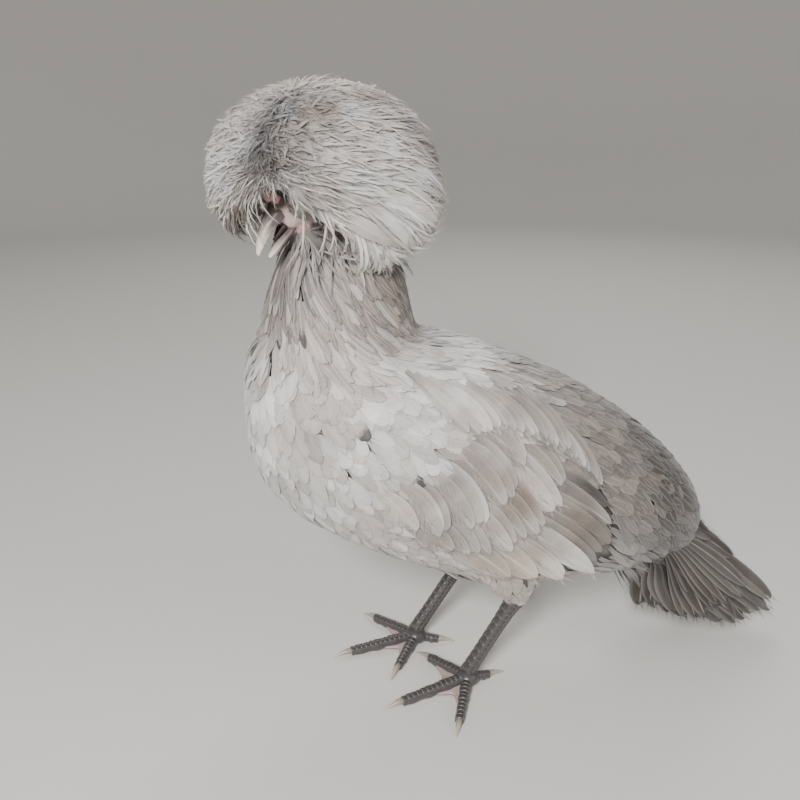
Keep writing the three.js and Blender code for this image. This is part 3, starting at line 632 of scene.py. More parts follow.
def fused(shapes, voxel, rounds):
    """One closed, even surface round several closed shapes: points, faces and normals."""
    points, faces, count = [], [], 0
    for p, f in shapes:
        points.append(p)
        faces += [[int(i) + count for i in face] for face in f]
        count += len(p)
    mesh = bpy.data.meshes.new("work")
    mesh.from_pydata(np.concatenate(points).tolist(), [], faces)
    piece = bpy.data.objects.new("work", mesh)
    bpy.context.scene.collection.objects.link(piece)
    even = piece.modifiers.new("even", "REMESH")
    even.mode = "VOXEL"
    even.voxel_size = voxel
    soft = piece.modifiers.new("soft", "SMOOTH")
    soft.iterations = rounds
    soft.factor = 0.5
    made = piece.evaluated_get(bpy.context.evaluated_depsgraph_get()).to_mesh()
    out = np.empty(len(made.vertices) * 3)
    made.vertices.foreach_get("co", out)
    normals = np.empty(len(made.vertices) * 3)
    made.vertices.foreach_get("normal", normals)
    quads = np.array([p.vertices[:] for p in made.polygons if len(p.vertices) == 4])
    piece.to_mesh_clear()
    bpy.data.objects.remove(piece)
    bpy.data.meshes.remove(mesh)
    return out.reshape(-1, 3), quads, normals.reshape(-1, 3)


def coat_depth(p):
    """How deep the skin lies under the coat, less towards the hock and on the head."""
    head = smooth_step(42, 30, np.linalg.norm(p - HEAD_AT, axis=1))
    return (THIN_DEPTH + (COAT_DEPTH - THIN_DEPTH) * smooth_step(78, 108, p[:, 2])) * (1 - 0.7 * head)


body_shapes = [cad_shape(name) for name in ("torso", "neck", "thigh_left", "thigh_right")]
body_shapes += [ring_shape(pad_rings(side)) for side in SIDES.values()]
body_shapes += [ring_shape(ellipsoid(*TAIL_CORE)), ring_shape(head_rings())]
outer, outer_faces, outer_normals = fused(body_shapes, 3.5, 10)
outer_tree = BVHTree.FromPolygons(outer.tolist(), outer_faces.tolist())


def nearest(points):
    """The closest places on the outer shape, with smooth normals."""
    places, faces = [], []
    for p in points:
        place, _, face, _ = outer_tree.find_nearest(Vector(p))
        places.append(place)
        faces.append(face)
    places = np.array(places)
    corners = outer_faces[faces]
    share = 1 / (np.linalg.norm(outer[corners] - places[:, None], axis=2) + 0.3)
    return places, unit((outer_normals[corners] * share[..., None]).sum(1))


HEAD_AXES = np.array([HEAD_ALONG, HEAD_OUT, HEAD_UP])
inner = outer - outer_normals * coat_depth(outer)[:, None]
core = ellipsoid(CREST_CORE_AT, CREST_CORE_HALF * 0.9)
gapes = [ellipsoid(on_head(18, hand * 5.6, -4.8), (7.5, 2.4, 6.2), axes=HEAD_AXES) for hand in (1, -1)]
cere = ellipsoid(on_head(21, 0, 4.6), (8.5, 6.8, 4.8), axes=HEAD_AXES)
skin_shapes = [ring_shape(rings) for rings in (head_rings(), core, *gapes, cere)]
skin_points, skin_faces, _ = fused([(inner, outer_faces), *skin_shapes], 1.8, 4)


# Where the face is bare
def head_place(p):
    q = p - HEAD_AT
    return q @ HEAD_ALONG, q @ HEAD_OUT, q @ HEAD_UP


def bare(p):
    """1 on the bare skin of the face, 0 on feathered skin."""
    far, out, up = head_place(p)
    front = ((far - 19) / 12) ** 2 + ((up + 4) / 10) ** 2
    eye = ((far - 10) / 9) ** 2 + ((up - 4) / 8) ** 2
    return smooth_step(1.25, 0.75, np.minimum(front, eye)) * (far > -5)


def skin_colour(p):
    face = bare(p)
    far, out, up = head_place(p)
    ring = np.exp(-((np.hypot(far - 9, up - 4.5) - 6) / 2.2) ** 2)
    nostril = spot(far, up, 25, 3.0, 3.6, 1.3) * np.exp(-((np.abs(out) - 5.4) / 2.4) ** 2)
    # the skin under the coat is the coat's colour darkened: painted shade under the feathers
    c = mixed(coat_colour(p) * 0.8, FACE_PINK, face)
    c = mixed(c, FACE_RED, 0.6 * spot(far, up, 8, 5, -6, 4.5) * face)
    c = mixed(c, EYE_RING, 0.55 * ring * face)
    # painted shade in the nostril's opening
    return mixed(c, NOSTRIL, 0.8 * nostril)


def skin_material():
    made, tree, shader = material("skin", Roughness=0.5, Subsurface_Weight=0.12, Subsurface_Scale=0.002)
    shader.inputs["Subsurface Radius"].default_value = (1.0, 0.4, 0.25)
    fine = noise(tree, 700.0, 4.0, 0.6)
    folds = noise(tree, 260.0, 2.0, 0.5)
    shade = math_node(tree, "MULTIPLY_ADD", fine, 0.35, 0.83)
    colour = darkened(tree, attribute(tree, "coat", "Color"), shade)
    height = math_node(tree, "ADD", fine, math_node(tree, "MULTIPLY", folds, 1.6))
    finish(tree, shader, colour, height, 0.45, 0.0006)
    return made


new_mesh("skin", skin_points, [skin_faces], skin_material(),
         ("torso", "neck", "head", "thigh_left", "thigh_right"), {"coat": skin_colour(skin_points)})


# Feathers over the body
# x, z and the way that the feathers point there, as x and z
LIE = np.array([
    [-95, 300, 0.25, -1.0],
    [-120, 290, 0.05, -1.0],
    [-60, 290, 0.45, -0.9],
    [-40, 262, 0.75, -0.65],
    [-125, 220, 0.1, -1.0],
    [-110, 170, 0.35, -0.95],
    [-90, 240, 0.3, -0.95],
    [-80, 140, 0.6, -0.8],
    [-60, 200, 0.75, -0.65],
    [-40, 110, 0.85, -0.5],
    [0, 240, 0.95, -0.3],
    [0, 170, 0.9, -0.45],
    [20, 90, 0.9, -0.35],
    [60, 215, 0.9, -0.42],
    [70, 140, 0.8, -0.6],
    [80, 80, 0.85, -0.45],
    [110, 185, 0.82, -0.58],
    [120, 110, 0.72, -0.7],
    [150, 150, 0.72, -0.7],
    [175, 110, 0.65, -0.76],
    [160, 60, 0.6, -0.8],
])
THIGH_WAY = np.array([0.22, 0.0, -0.97])


def on_thigh(p):
    x, y, z = p[:, 0], np.abs(p[:, 1]), p[:, 2]
    return smooth_step(106, 92, z) * smooth_step(-8, 6, x) * smooth_step(82, 70, x) * smooth_step(10, 18, y)


def lie(p):
    """The way that the feathers point at places in the hen's frame."""
    far = (p[:, None, 0] - LIE[:, 0]) ** 2 + (p[:, None, 2] - LIE[:, 1]) ** 2
    share = 1 / (far + 60) ** 1.5
    d = (share[..., None] * LIE[:, 2:]).sum(1)
    way = unit(np.stack([d[:, 0], np.zeros(len(p)), d[:, 1]], -1))
    way = unit(mixed(way, THIGH_WAY, on_thigh(p)))
    back = unit(np.array([0.0, 0.0, -0.75]) - HEAD_ALONG * 0.8)
    return unit(mixed(way, back, smooth_step(306, 324, p[:, 2])))


NEIGHBOURS = [(i, j, k) for i in (-1, 0, 1) for j in (-1, 0, 1) for k in (-1, 0, 1)]


def crowded(place, gap, held, key):
    """True if a place that is held in the cells round this one lies closer than the gap."""
    for i, j, k in NEIGHBOURS:
        for q in held.get((key[0] + i, key[1] + j, key[2] + k), ()):
            if (q[0] - place[0]) ** 2 + (q[1] - place[1]) ** 2 + (q[2] - place[2]) ** 2 < gap * gap:
                return True
    return False


def spread(spacing, keep, tries):
    """Places over the outer shape, about spacing(p) apart, where keep(p) holds."""
    a, b, c, d = (outer[outer_faces[:, i]] for i in range(4))
    area = np.linalg.norm(np.cross(c - a, d - b), axis=1)
    face = rng.choice(len(area), tries, p=area / area.sum())
    u, v = rng.random((2, tries, 1))
    p = (a[face] * (1 - u) + b[face] * u) * (1 - v) + (d[face] * (1 - u) + c[face] * u) * v
    p = p[keep(p)]
    gaps = spacing(p)
    keys = np.floor(p / float(gaps.max())).astype(int)
    held, chosen = {}, []
    for i, (place, gap, key) in enumerate(zip(p.tolist(), gaps.tolist(), keys.tolist())):
        if not crowded(place, gap, held, key):
            held.setdefault(tuple(key), []).append(place)
            chosen.append(i)
    return p[chosen]


def closing(stations, power=1.8):
    """Shares of a feather's length that lie closer together at its tip."""
    return 1 - (1 - np.linspace(0, 1, stations)) ** power


def walk(roots, length, t, stray):
    """Centre lines that follow the lie of the coat: points, normals and directions, feathers by stations."""
    p, n = nearest(roots)
    bend = rng.normal(0, stray, (len(p), 1))
    points, normals, ways = [], [], []
    for step in np.diff(t, append=1.0):
        d = lie(p)
        d = unit(d - n * (d * n).sum(1, keepdims=True))
        d = unit(d + np.cross(n, d) * bend)
        points.append(p)
        normals.append(n)
        ways.append(d)
        p, n = nearest(p + d * (length * step)[:, None])
    return np.stack(points, 1), np.stack(normals, 1), np.stack(ways, 1)


# Stations of a barb: share of its way along the shaft, share of its way out, share of its thickness
BARB_STATIONS = ((0.0, 0.25, 1.0), (0.10, 0.7, 0.85), (0.2, 1.0, 0.12))


def barbs(coat, centre, across, face, width, share, colour, roots, normals, number, reach, thick, first=0.3,
          mark=0.0):
    """Loose barbs that leave both sides of a shaft and end beyond the blade's edge."""
    n, k, _ = centre.shape
    t0 = first + (1 - first) * rng.random((n, number)) ** 0.8
    side = np.where(rng.random((n, number)) < 0.5, -1.0, 1.0)
    rows = np.arange(n)[:, None]

    def at(values, t):
        f = np.clip(t, 0, 1) * (k - 1)
        i = np.minimum(f.astype(int), k - 2)
        f = (f - i)[..., None] if values.ndim == 3 else f - i
        return values[rows, i] + (values[rows, i + 1] - values[rows, i]) * f

    half = np.reshape(width, (-1, 1)) / 2
    share = np.broadcast_to(share, (n, k))
    tip_way = unit(at(centre, np.ones_like(t0)) - at(centre, np.full_like(t0, 0.8)))
    grids, ts, cs = [], [], []
    stretch = rng.uniform(0.75, reach, (n, number))
    for go, out, full in BARB_STATIONS:
        t = t0 + go * stretch
        c = out * stretch * side
        beyond = np.maximum(t - 1, 0) * 3.0 * half
        w = np.maximum(at(share, np.minimum(t, 0.97)), 0.25) * half
        rise = 0.25 * rng.normal(0, 1, t.shape) * out - 0.25 * out
        base = at(centre, t) + tip_way * beyond[..., None]
        base = base + at(across, t) * (c * w)[..., None] + at(face, t) * rise[..., None]
        ahead = np.minimum(t + 0.15, 1)
        wide = unit(at(centre, ahead) - at(centre, ahead - 0.15)) * (thick * full / 2)
        grids.append(np.stack([base - wide, base + wide], 2))
        ts.append(np.stack([t, t], 2))
        cs.append(np.stack([c, c], 2) * 0.8)
    strands, stations = n * number, len(BARB_STATIONS)
    grid = np.stack(grids, 2).reshape(strands, stations, 2, 3)
    t = np.clip(np.stack(ts, 2).reshape(strands, stations, 2), 0, 1)
    c = np.clip(np.stack(cs, 2).reshape(strands, stations, 2), -1, 1)
    colour = np.repeat(np.asarray(colour).reshape(n, 3), number, 0)[:, None, None]
    colour = colour * (1 + 0.15 * rng.normal(0, 1, (strands, 1, 1, 1)))
    mark = np.repeat(np.broadcast_to(mark, (n,)), number)
    coat.add(grid, colour, t, c, np.repeat(roots, number, 0), np.repeat(normals, number, 0), mark)


def edge_barbs(coat, t, centre, across, face, width, share, *rest, **settings):
    """Barbs on blades whose stations lie at t, which first become even."""
    even = np.linspace(0, 1, len(t))
    fields = (np.apply_along_axis(lambda f: np.interp(even, t, f), 1, field)
              for field in (centre, across, face))
    centre, across, face = fields
    share = np.interp(even, t, share)[None]
    barbs(coat, centre, unit(across), unit(face), width, share, *rest, **settings)


def plumes(coat, roots, length, width, stations, columns, lift, camber, share, rag, loose, stray, tint,
           mark=None, droop=0.0, thick=0.24, reach=1.25, colour=None, pale=0.3):
    """Feathers that lie on the outer shape from their roots on."""
    n = len(roots)
    t = closing(stations)
    centre, normal, way = walk(roots, length, t, stray)
    rise = lift[0] + (lift[1] - lift[0]) * t ** 0.85 + rng.normal(0, 0.2, (n, 1)) * t
    centre = centre + normal * rise[..., None]
    centre[..., 2] -= droop * t**2 * length[:, None] / 30
    across = unit(np.cross(normal, way))
    across = unit(across + normal * rng.normal(0, 0.05, (n, 1, 1)))
    face = unit(np.cross(way, across))
    face = face * np.sign((face * normal).sum(-1, keepdims=True))
    share = outline(t, 0.55, 0.4, 0.95) if share is None else share
    grid = blade(centre, across, face, width, share[None], columns, camber, rag)
    base = coat_colour(centre[:, stations // 2]) if colour is None else colour
    base = base * (1 + tint * rng.normal(0, 1, (n, 1)))
    base = mixed(base, WHITISH, pale * (rng.random(n) < 0.15) * (1 - 0.8 * smooth_step(50, 100, roots[:, 0])))
    mark = np.zeros(n) if mark is None else mark
    c = np.linspace(-1, 1, columns)
    coat.add(grid, base[:, None, None], t[None, :, None], c[None, None], roots, normal[:, 0], mark)
    edge_barbs(coat, t, centre, across, face, width, share, base, roots, normal[:, 0], loose, mark=mark,
               thick=thick, reach=reach)


def inside(x, z, corners):
    hit = np.zeros(len(x), bool)
    for (x0, z0), (x1, z1) in zip(corners, corners[1:] + corners[:1]):
        hit ^= ((z0 > z) != (z1 > z)) & (x < (x1 - x0) * (z - z0) / (z1 - z0 + 1e-9) + x0)
    return hit


def neck_part(p):
    return p[:, 2] + 0.2 * (p[:, 0] + 65) > 250


def fluff_part(p):
    low = (p[:, 2] < 100) & (p[:, 0] > -20)
    vent = (p[:, 0] > 95) & (p[:, 2] < 150 - 0.4 * (p[:, 0] - 95))
    return low | vent | (on_thigh(p) > 0.4)


HOCK_TOP = 73
CREST_BOTTOM = 342
CHEEK_BOTTOM = 314
THINNING = 1.0


def open_body(p):
    """Where feathers of the body grow: not under the wings, not on the bare face, not inside the crest."""
    under = (np.abs(p[:, 1]) > 30) & inside(p[:, 0], p[:, 2], WING_ZONE)
    return ~under & (p[:, 2] >= HOCK_TOP) & (bare(p) < 0.4) & (p[:, 2] < CREST_BOTTOM)


def coat_spacing(p):
    gap = np.where(neck_part(p), 3.9, np.where(fluff_part(p), 5.6, 5.9))
    gap = np.where(p[:, 2] > 316, 3.3, gap)
    return np.where(on_thigh(p) > 0.4, 4.6, gap) * THINNING


def sized(n, mean, vary):
    return mean * (1 + vary * rng.normal(0, 1, n).clip(-2, 2))


def layer(coat, places, length, width, *shape, marks=None, **settings):
    """Feathers with a mean and a spread for length and width. A share of them, marks, has dark tips."""
    n = len(places)
    length = sized(n, *length)
    width = sized(n, *width)
    mark = None if marks is None else marked(places, marks)
    plumes(coat, places, length, width, *shape, mark=mark, **settings)


roots = spread(coat_spacing, open_body, 110000)
root_x, root_z = roots[:, 0], roots[:, 2]
is_upper = neck_part(roots)
is_cheek = is_upper & (root_z > CHEEK_BOTTOM)
is_neck = is_upper & ~is_cheek
is_leg = (on_thigh(roots) > 0.3) & ~is_neck
is_fluff = fluff_part(roots) & ~is_leg & ~is_upper
is_rump = (root_x > 60) & ~is_fluff & ~is_neck & ~is_leg
is_plain = ~is_upper & ~is_fluff & ~is_rump & ~is_leg
is_long_down = (root_x > 118) & (root_z < 96)

SLIM = outline(closing(8), 0.5, 0.35, 1.1)
WISP = outline(closing(6), 0.4, 0.3, 1.1) * 0.5
BEARD = rgb(186, 186, 188)

# Each layer: length, width, stations, columns, height off the skin at root and tip, camber, outline, ragged
# edge, number of barbs, stray, spread of the colour
hackles = Coat()
layer(hackles, roots[is_neck], (34, 0.16), (5.6, 0.14), 8, 3, (-1.5, 1.7), 0.1, SLIM, 0.1, 16, 0.16, 0.13,
      marks=0.02, thick=0.32, reach=1.6)
hackles.make("neck_hackles", HACKLE, "neck")

cheek = Coat()
layer(cheek, roots[is_cheek], (17, 0.2), (3.6, 0.15), 6, 3, (-0.8, 3.0), 0.1, None, 0.1, 26, 0.3, 0.12,
      droop=0.5, thick=0.36, reach=2.6)
beard = np.repeat(roots[is_upper & (root_z > 306) & (root_x > -90)], 2, 0)
layer(cheek, beard, (19, 0.2), (2.6, 0.15), 6, 2, (0.5, 7.0), 0.1, WISP, 0.1, 36, 0.5, 0.06, droop=1.0,
      thick=0.36, reach=3.4, colour=mixed(coat_colour(beard), BEARD, 0.3))
cheek.make("cheek_feathers", HACKLE, "neck")

contour = Coat()
layer(contour, roots[is_plain], (24, 0.16), (10.4, 0.16), 7, 5, (-1.5, 0.8), 0.04, None, 0.1, 30, 0.15, 0.13,
      marks=0.01, thick=0.38, reach=1.6)
contour.make("body_feathers", FEATHER, "body")

rump = Coat()
layer(rump, roots[is_rump], (27, 0.16), (10, 0.16), 7, 5, (-1.6, 1.3), 0.04, None, 0.06, 34, 0.15, 0.13,
      marks=0.01, thick=0.34, reach=1.5, pale=0.1)
rump.make("rump_feathers", FEATHER, "body")

fluff = Coat()
layer(fluff, roots[is_fluff], (29, 0.18), (6.5, 0.15), 7, 3, (-1.5, 2.4), 0.03, None, 0.12, 30, 0.24, 0.12,
      droop=2.5, thick=0.42, reach=2.6)
layer(fluff, roots[is_leg], (18, 0.18), (5, 0.12), 6, 3, (-1.0, 1.6), 0.03, None, 0.1, 28, 0.2, 0.10,
      thick=0.4, reach=2.2)
layer(fluff, roots[is_long_down], (46, 0.2), (7, 0.15), 7, 3, (-1.0, 6.0), 0.03, None, 0.12, 34, 0.2, 0.12,
      droop=14.0, thick=0.42, reach=2.4)
fluff.make("fluff", DOWN, "body")


# Wings and tail
SHEET_RIDGE = 0.3
SHEET_CAMBER = 0.03


def on_sheet(sheet, v, width, t, columns, slant, share, facing):
    """Blades whose both edges follow a sheet(t, v): grid, centre lines, ways across and out, columns."""
    n, stations = len(v), len(t)
    c = np.linspace(-1, 1, columns)
    tt = np.broadcast_to(t, (n, stations)) * (1 + rng.normal(0, 0.03, (n, 1)))
    vv = np.broadcast_to(np.reshape(v, (-1, 1)), (n, stations)) + rng.normal(0, 0.012, (n, 1)) * t
    step = 0.02
    side_way = (sheet(tt, vv + step) - sheet(tt, vv - step)) / (2 * step)
    ahead = (sheet(tt + step, vv) - sheet(tt - step, vv)) / (2 * step)
    way = unit(ahead)
    size = np.linalg.norm(side_way - way * (side_way * way).sum(-1, keepdims=True), axis=-1)
    half = np.reshape(width, (-1, 1)) / 2 * share
    dv = (half / np.maximum(size, 8.0))[:, :, None] * c
    shift = (side_way * way).sum(-1)[:, :, None] * dv
    long = np.maximum(np.linalg.norm(ahead, axis=-1), 1)[:, :, None]
    places = sheet(tt[:, :, None] - shift / long, vv[:, :, None] + dv)
    face = unit(np.cross(side_way, ahead)) * facing
    up = SHEET_RIDGE * (1 - np.abs(c)) ** 2 - slant * c - SHEET_CAMBER * half[:, :, None] * c * c
    grid = places + face[:, :, None] * up[..., None]
    return grid, sheet(tt, vv) + face * SHEET_RIDGE, unit(np.cross(face, ahead)), face, c


def wing_sheet(roots_line, tips_line, lift, side):
    def sheet(t, v):
        root, tip = on_line(roots_line, v), on_line(tips_line, v)
        dx, dz = tip[..., 0] - root[..., 0], tip[..., 1] - root[..., 1]
        arch = 0.05 * 4 * t * (1 - t)
        x, z = root[..., 0] + dx * t - dz * arch, root[..., 1] + dz * t + dx * arch
        high = THIN_DEPTH + (lift - THIN_DEPTH) * np.clip(t * 4, 0, 1)
        return np.stack([x, side * (torso_side(x, z) + high), z], -1)

    return sheet


def big_feathers(coat, sheet, v, width, facing, mark, colour, shape, stations, slant, loose, tint, pale):
    """Long feathers on a sheet, with loose barbs along their edges."""
    n = len(v)
    t = closing(stations, 1.5)
    share = outline(t, *shape)
    grid, centre, across, face, c = on_sheet(sheet, v, width, t, 9, slant, share, facing)
    grid = grid + face[:, :, None] * rng.normal(0, 0.08, (n, 1, 1, 1))
    edge = (np.abs(c) > 0.99)[None, None, :]
    way = unit(centre[:, -1:] - centre[:, -3:-2])[:, :, None]
    grid = grid + way * (rng.normal(0, 0.3, grid.shape[:3]) * edge)[..., None]
    mark = marked(centre[:, -3], 0.03) if mark is None else mark
    base = colour(centre, t) * (1 + tint * rng.normal(0, 1, (n, 1, 1)))
    base = mixed(base, WHITISH, pale * (rng.random(n) < 0.15)[:, None])
    coat.add(grid, base[:, :, None], t[None, :, None], c[None, None], centre[:, 0], face[:, 0], mark)
    edge_barbs(coat, t, centre, across, face, width, share, base.mean(1), centre[:, 0], face[:, 0], loose,
               reach=1.5, thick=0.38, first=0.25, mark=mark)


def wing_colour(centre, t):
    x, z = centre[..., 0], centre[..., 2]
    c = coat_colour(centre) * np.array([0.84, 0.81, 0.78])
    c = mixed(c, rgb(118, 100, 86), 0.9 * spot(x, z, 36, 18, 166, 24))
    streaks = np.sin(x / 5.3 + z / 9.1) * np.sin(z / 6.7 - x / 13.0)
    c = mixed(c, rgb(150, 138, 128), 0.5 * smooth_step(0.1, 0.8, streaks))
    c = mixed(c, rgb(172, 155, 134), 0.75 * smooth_step(140, 108, z - 0.25 * x + 10))
    c = mixed(c, rgb(108, 98, 92), 0.5 * smooth_step(60, 95, x) * smooth_step(120, 150, z))
    c = mixed(c, rgb(228, 226, 222), 0.8 * spot(x, z, 78, 22, 108, 9))
    return mixed(c, WHITISH, 0.18 * smooth_step(0.7, 1.0, np.broadcast_to(t, x.shape)))


WING_BLADES = {"colour": wing_colour, "shape": (0.5, 0.34, 0.9), "stations": 14, "slant": 0.6, "loose": 190,
               "tint": 0.15, "pale": 0.3}
for side_name, side in SIDES.items():
    wing = Coat()
    for root_line, tip_line, number, wide, lift in WING_TIERS.values():
        v = np.linspace(0, 1, number) + rng.normal(0, 0.012, number)
        sheet = wing_sheet(root_line, tip_line, lift, side)
        # the sheet's own handedness turns over with the side, and the face has to point outwards
        big_feathers(wing, sheet, v, sized(number, wide, 0.10), -side, None, **WING_BLADES)
    wing.make(f"wing_feathers_{side_name}", LONG, "wing", (f"wing_{side_name}",))


def tail_sheet(root_line, tip_line, swell, lift, side):
    def sheet(t, v):
        p = on_line(root_line, v) * (1 - t)[..., None] + on_line(tip_line, v) * t[..., None]
        bulge = np.sin(math.pi * np.clip(v, 0, 1)) * swell * (0.4 + 0.6 * t)
        x = p[..., 0] + 0.3 * lift
        y = p[..., 1] + bulge + 0.8 * lift
        z = p[..., 2] + 16 * t * (1 - t) + 0.55 * lift
        return np.stack([x, side * y, z], -1)

    return sheet


def tail_colour(centre, t):
    x, z = centre[..., 0], centre[..., 2]
    c = np.broadcast_to(rgb(58, 51, 46), centre.shape)
    c = mixed(c, rgb(84, 77, 72), 0.6 * smooth_step(-0.2, 0.8, np.sin(x / 9 + z / 7)))
    c = mixed(c, rgb(66, 58, 52), 0.5 * smooth_step(0.6, 1.0, np.broadcast_to(t, x.shape)))
    return mixed(c, rgb(106, 98, 91), 0.5 * smooth_step(-26, -4, z - 92 + 0.75 * (x - 180)))


TAIL_BLADES = {"colour": tail_colour, "shape": (0.6, 0.4, 0.9), "stations": 12, "slant": 1.4, "loose": 140,
               "tint": 0.12, "pale": 0.05}
tail = Coat()
for side in SIDES.values():
    for root_line, tip_line, swell, number, wide, lift in TAIL_TIERS:
        v = np.linspace(0, 1, number) + rng.normal(0, 0.01, number)
        width = sized(number, wide, 0.08)
        mark = 0.6 * (rng.random(number) < 0.12)
        sheet = tail_sheet(root_line, tip_line, swell, lift, side)
        big_feathers(tail, sheet, v, width, side, mark, **TAIL_BLADES)
tail.make("tail_feathers", LONG, "tail", ("tail",))


# Crest
def down_and_round(down, heading):
    """Directions from an angle down from the top and a heading round the crest, in degrees."""
    down, heading = np.radians(down), np.radians(heading)
    return np.stack([-np.sin(down) * np.cos(heading), -np.sin(down) * np.sin(heading), np.cos(down)], -1)


# The furrow that the crest flows out of: its heading, and its ends as angles down from the top
FURROW_HEADING = 57.0
FURROW_FRONT = (30.0, 80.0)
FURROW_BACK = (24.0, 44.0)


def turned(points, lift):
    """Places on the crest's globe for directions from its middle."""
    return points * CREST_HALF * (1 + lift)[..., None] + CREST_AT


def crest_feathers(coat, n, arch, deep, long, wide, stations, columns, loose, stray, tint, thick, fan, kick,
                   headings=(-180, 180), past=3.0, roll=0.10, colour=None, shade=1.0):
    """Feathers that flow over the globe from the furrow over the beak out to their tips on all sides."""
    heading = rng.uniform(*headings, n)
    low, hang = (np.interp(heading, CREST_RIM[:, 0], CREST_RIM[:, k]) for k in (1, 2))
    low = low + past + rng.normal(0, 2, n)
    down = np.degrees(np.arccos(1 - rng.random(n) * (1 - np.cos(np.radians(low)))))
    # feathers with a colour of their own all end at the rim
    down = down if colour is None else low
    tip = down_and_round(down, heading)
    apart = (heading - FURROW_HEADING + 180) % 360 - 180
    behind = smooth_step(60, 180, np.abs(apart))
    top, bottom = (front * (1 - behind) + back * behind for front, back in zip(FURROW_FRONT, FURROW_BACK))
    start_down = np.clip(down * 0.9, top, bottom) + rng.normal(0, 5, n)
    start = down_and_round(start_down, FURROW_HEADING + apart * behind + rng.normal(0, 5, n))
    face_edge = np.exp(-((heading - 60) / 24) ** 2) * smooth_step(66, 88, down)
    arc = np.arccos(np.clip((tip * start).sum(1), -0.999, 0.999))
    length = np.radians(long) * (1 + 0.15 * rng.normal(0, 1, n))
    length = np.clip(np.minimum(arc * 0.92, length), 0.3, 1.5)
    t = np.linspace(0, 1, stations)
    back = length[:, None] * (1 - t)
    way = start[:, None] * (np.sin(back) / np.sin(arc)[:, None])[..., None]
    way = way + tip[:, None] * (np.sin(arc[:, None] - back) / np.sin(arc)[:, None])[..., None]
    way = unit(way)
    side = unit(np.cross(tip, start))[:, None]
    sway = rng.normal(0, stray, (n, 1)) * (1 - 0.7 * face_edge[:, None])
    way = unit(way + side * (sway * t**2)[..., None])
    depth = deep + rng.normal(0, 0.012, (n, 1)) + kick * rng.random((n, 1)) ** 4 * t**2
    hanging = smooth_step(80, 125, np.degrees(np.arccos(np.clip(way[..., 2], -1, 1))))
    shell = turned(way, depth - 1 + (hang - 1)[:, None] * hanging)
    base = way[:, :1] * CREST_CORE_HALF * 0.9 + CREST_CORE_AT
    share = (1 - (1 - t) ** arch)[None, :, None]
    centre = base * (1 - share) + shell * share
    centre = keep_off_face(centre)
    ahead = unit(np.gradient(centre, axis=1))
    face = unit(centre - CREST_AT)
    across = unit(np.cross(face, ahead))
    across = unit(across + face * rng.normal(0, roll, (n, 1, 1)))
    face = unit(np.cross(ahead, across))
    face = face * np.sign((face * (centre - CREST_AT)).sum(-1, keepdims=True))
    width = sized(n, wide, 0.15) * (1 - 0.6 * face_edge)
    share = outline(t, 0.55, 0.35, 0.9)
    grid = blade(centre, across, face, width, share[None], columns, 0.08, 0.08)
    # painted shade on the feathers at the crest's rim beside the face
    shade = shade * (1 - 0.35 * face_edge[:, None, None])
    colour = crest_colour(centre) if colour is None else colour
    colour = colour * shade * (1 + tint * rng.normal(0, 1, (n, 1, 1)))
    colour = np.broadcast_to(colour, centre.shape)
    c = np.linspace(-1, 1, columns)
    coat.add(grid, colour[:, :, None], t[None, :, None], c[None, None], centre[:, 0], face[:, 0], 0.0)
    barbs(coat, centre, across, face, sized(n, fan, 0.2), share[None], colour[:, stations * 2 // 3],
          centre[:, 0], face[:, 0], loose, reach=1.3, thick=thick, first=0.15)


def keep_off_face(centre):
    """Feathers that would cross the open space before the face bend round its edge."""
    space_at = on_head(34, 0, -16)
    half = np.array([30, 12, 16])
    local = (centre - space_at) @ HEAD_AXES.T / half
    far = np.linalg.norm(local, axis=-1, keepdims=True)
    pushed = np.where(far < 1, local / np.maximum(far, 0.2), local)
    return (pushed * half) @ HEAD_AXES + space_at


def crest_colour(p):
    """Markings of the crest by the direction from its middle, with painted shade in its furrow."""
    q = unit((p - CREST_AT) / CREST_HALF)
    down = np.degrees(np.arccos(np.clip(q[..., 2], -1, 1)))
    heading = np.degrees(np.arctan2(-q[..., 1], -q[..., 0]))
    wave = np.sin(q[..., 0] * 7 + 2) * np.cos(q[..., 2] * 6 + q[..., 1] * 5)

    def around(h, d, wide, high):
        off = (heading - h + 180) % 360 - 180
        return np.exp(-((off * np.sin(np.radians(down)) / wide) ** 2 + ((down - d) / high) ** 2))

    c = np.broadcast_to(rgb(174, 166, 160), p.shape).copy()
    c = mixed(c, rgb(132, 117, 107), 0.8 * smooth_step(-0.1, 0.7, wave))
    ripple = np.sin(q[..., 0] * 11 - 1) * np.sin(q[..., 2] * 9 + 2)
    c = mixed(c, rgb(196, 198, 202), 0.6 * smooth_step(0.0, 0.8, ripple))
    c = mixed(c, rgb(118, 106, 97), 0.75 * around(80, 66, 16, 26))
    c = mixed(c, rgb(206, 203, 200), 0.75 * around(118, 88, 28, 24))
    c = mixed(c, rgb(210, 208, 206), 0.85 * around(18, 84, 24, 20))
    c = mixed(c, rgb(206, 194, 182), 0.7 * smooth_step(40, 16, down))
    c = mixed(c, rgb(210, 207, 204), 0.6 * around(36, 42, 12, 14))
    # painted shade in the furrow where the crest parts
    c = mixed(c, rgb(80, 77, 78), 0.95 * around(FURROW_HEADING, 68, 10, 34))
    return mixed(c, rgb(226, 223, 218), 0.9 * spot(p[..., 0], p[..., 2], -20, 15, 312, 22))


def fewer(number):
    return int(number / THINNING**2)


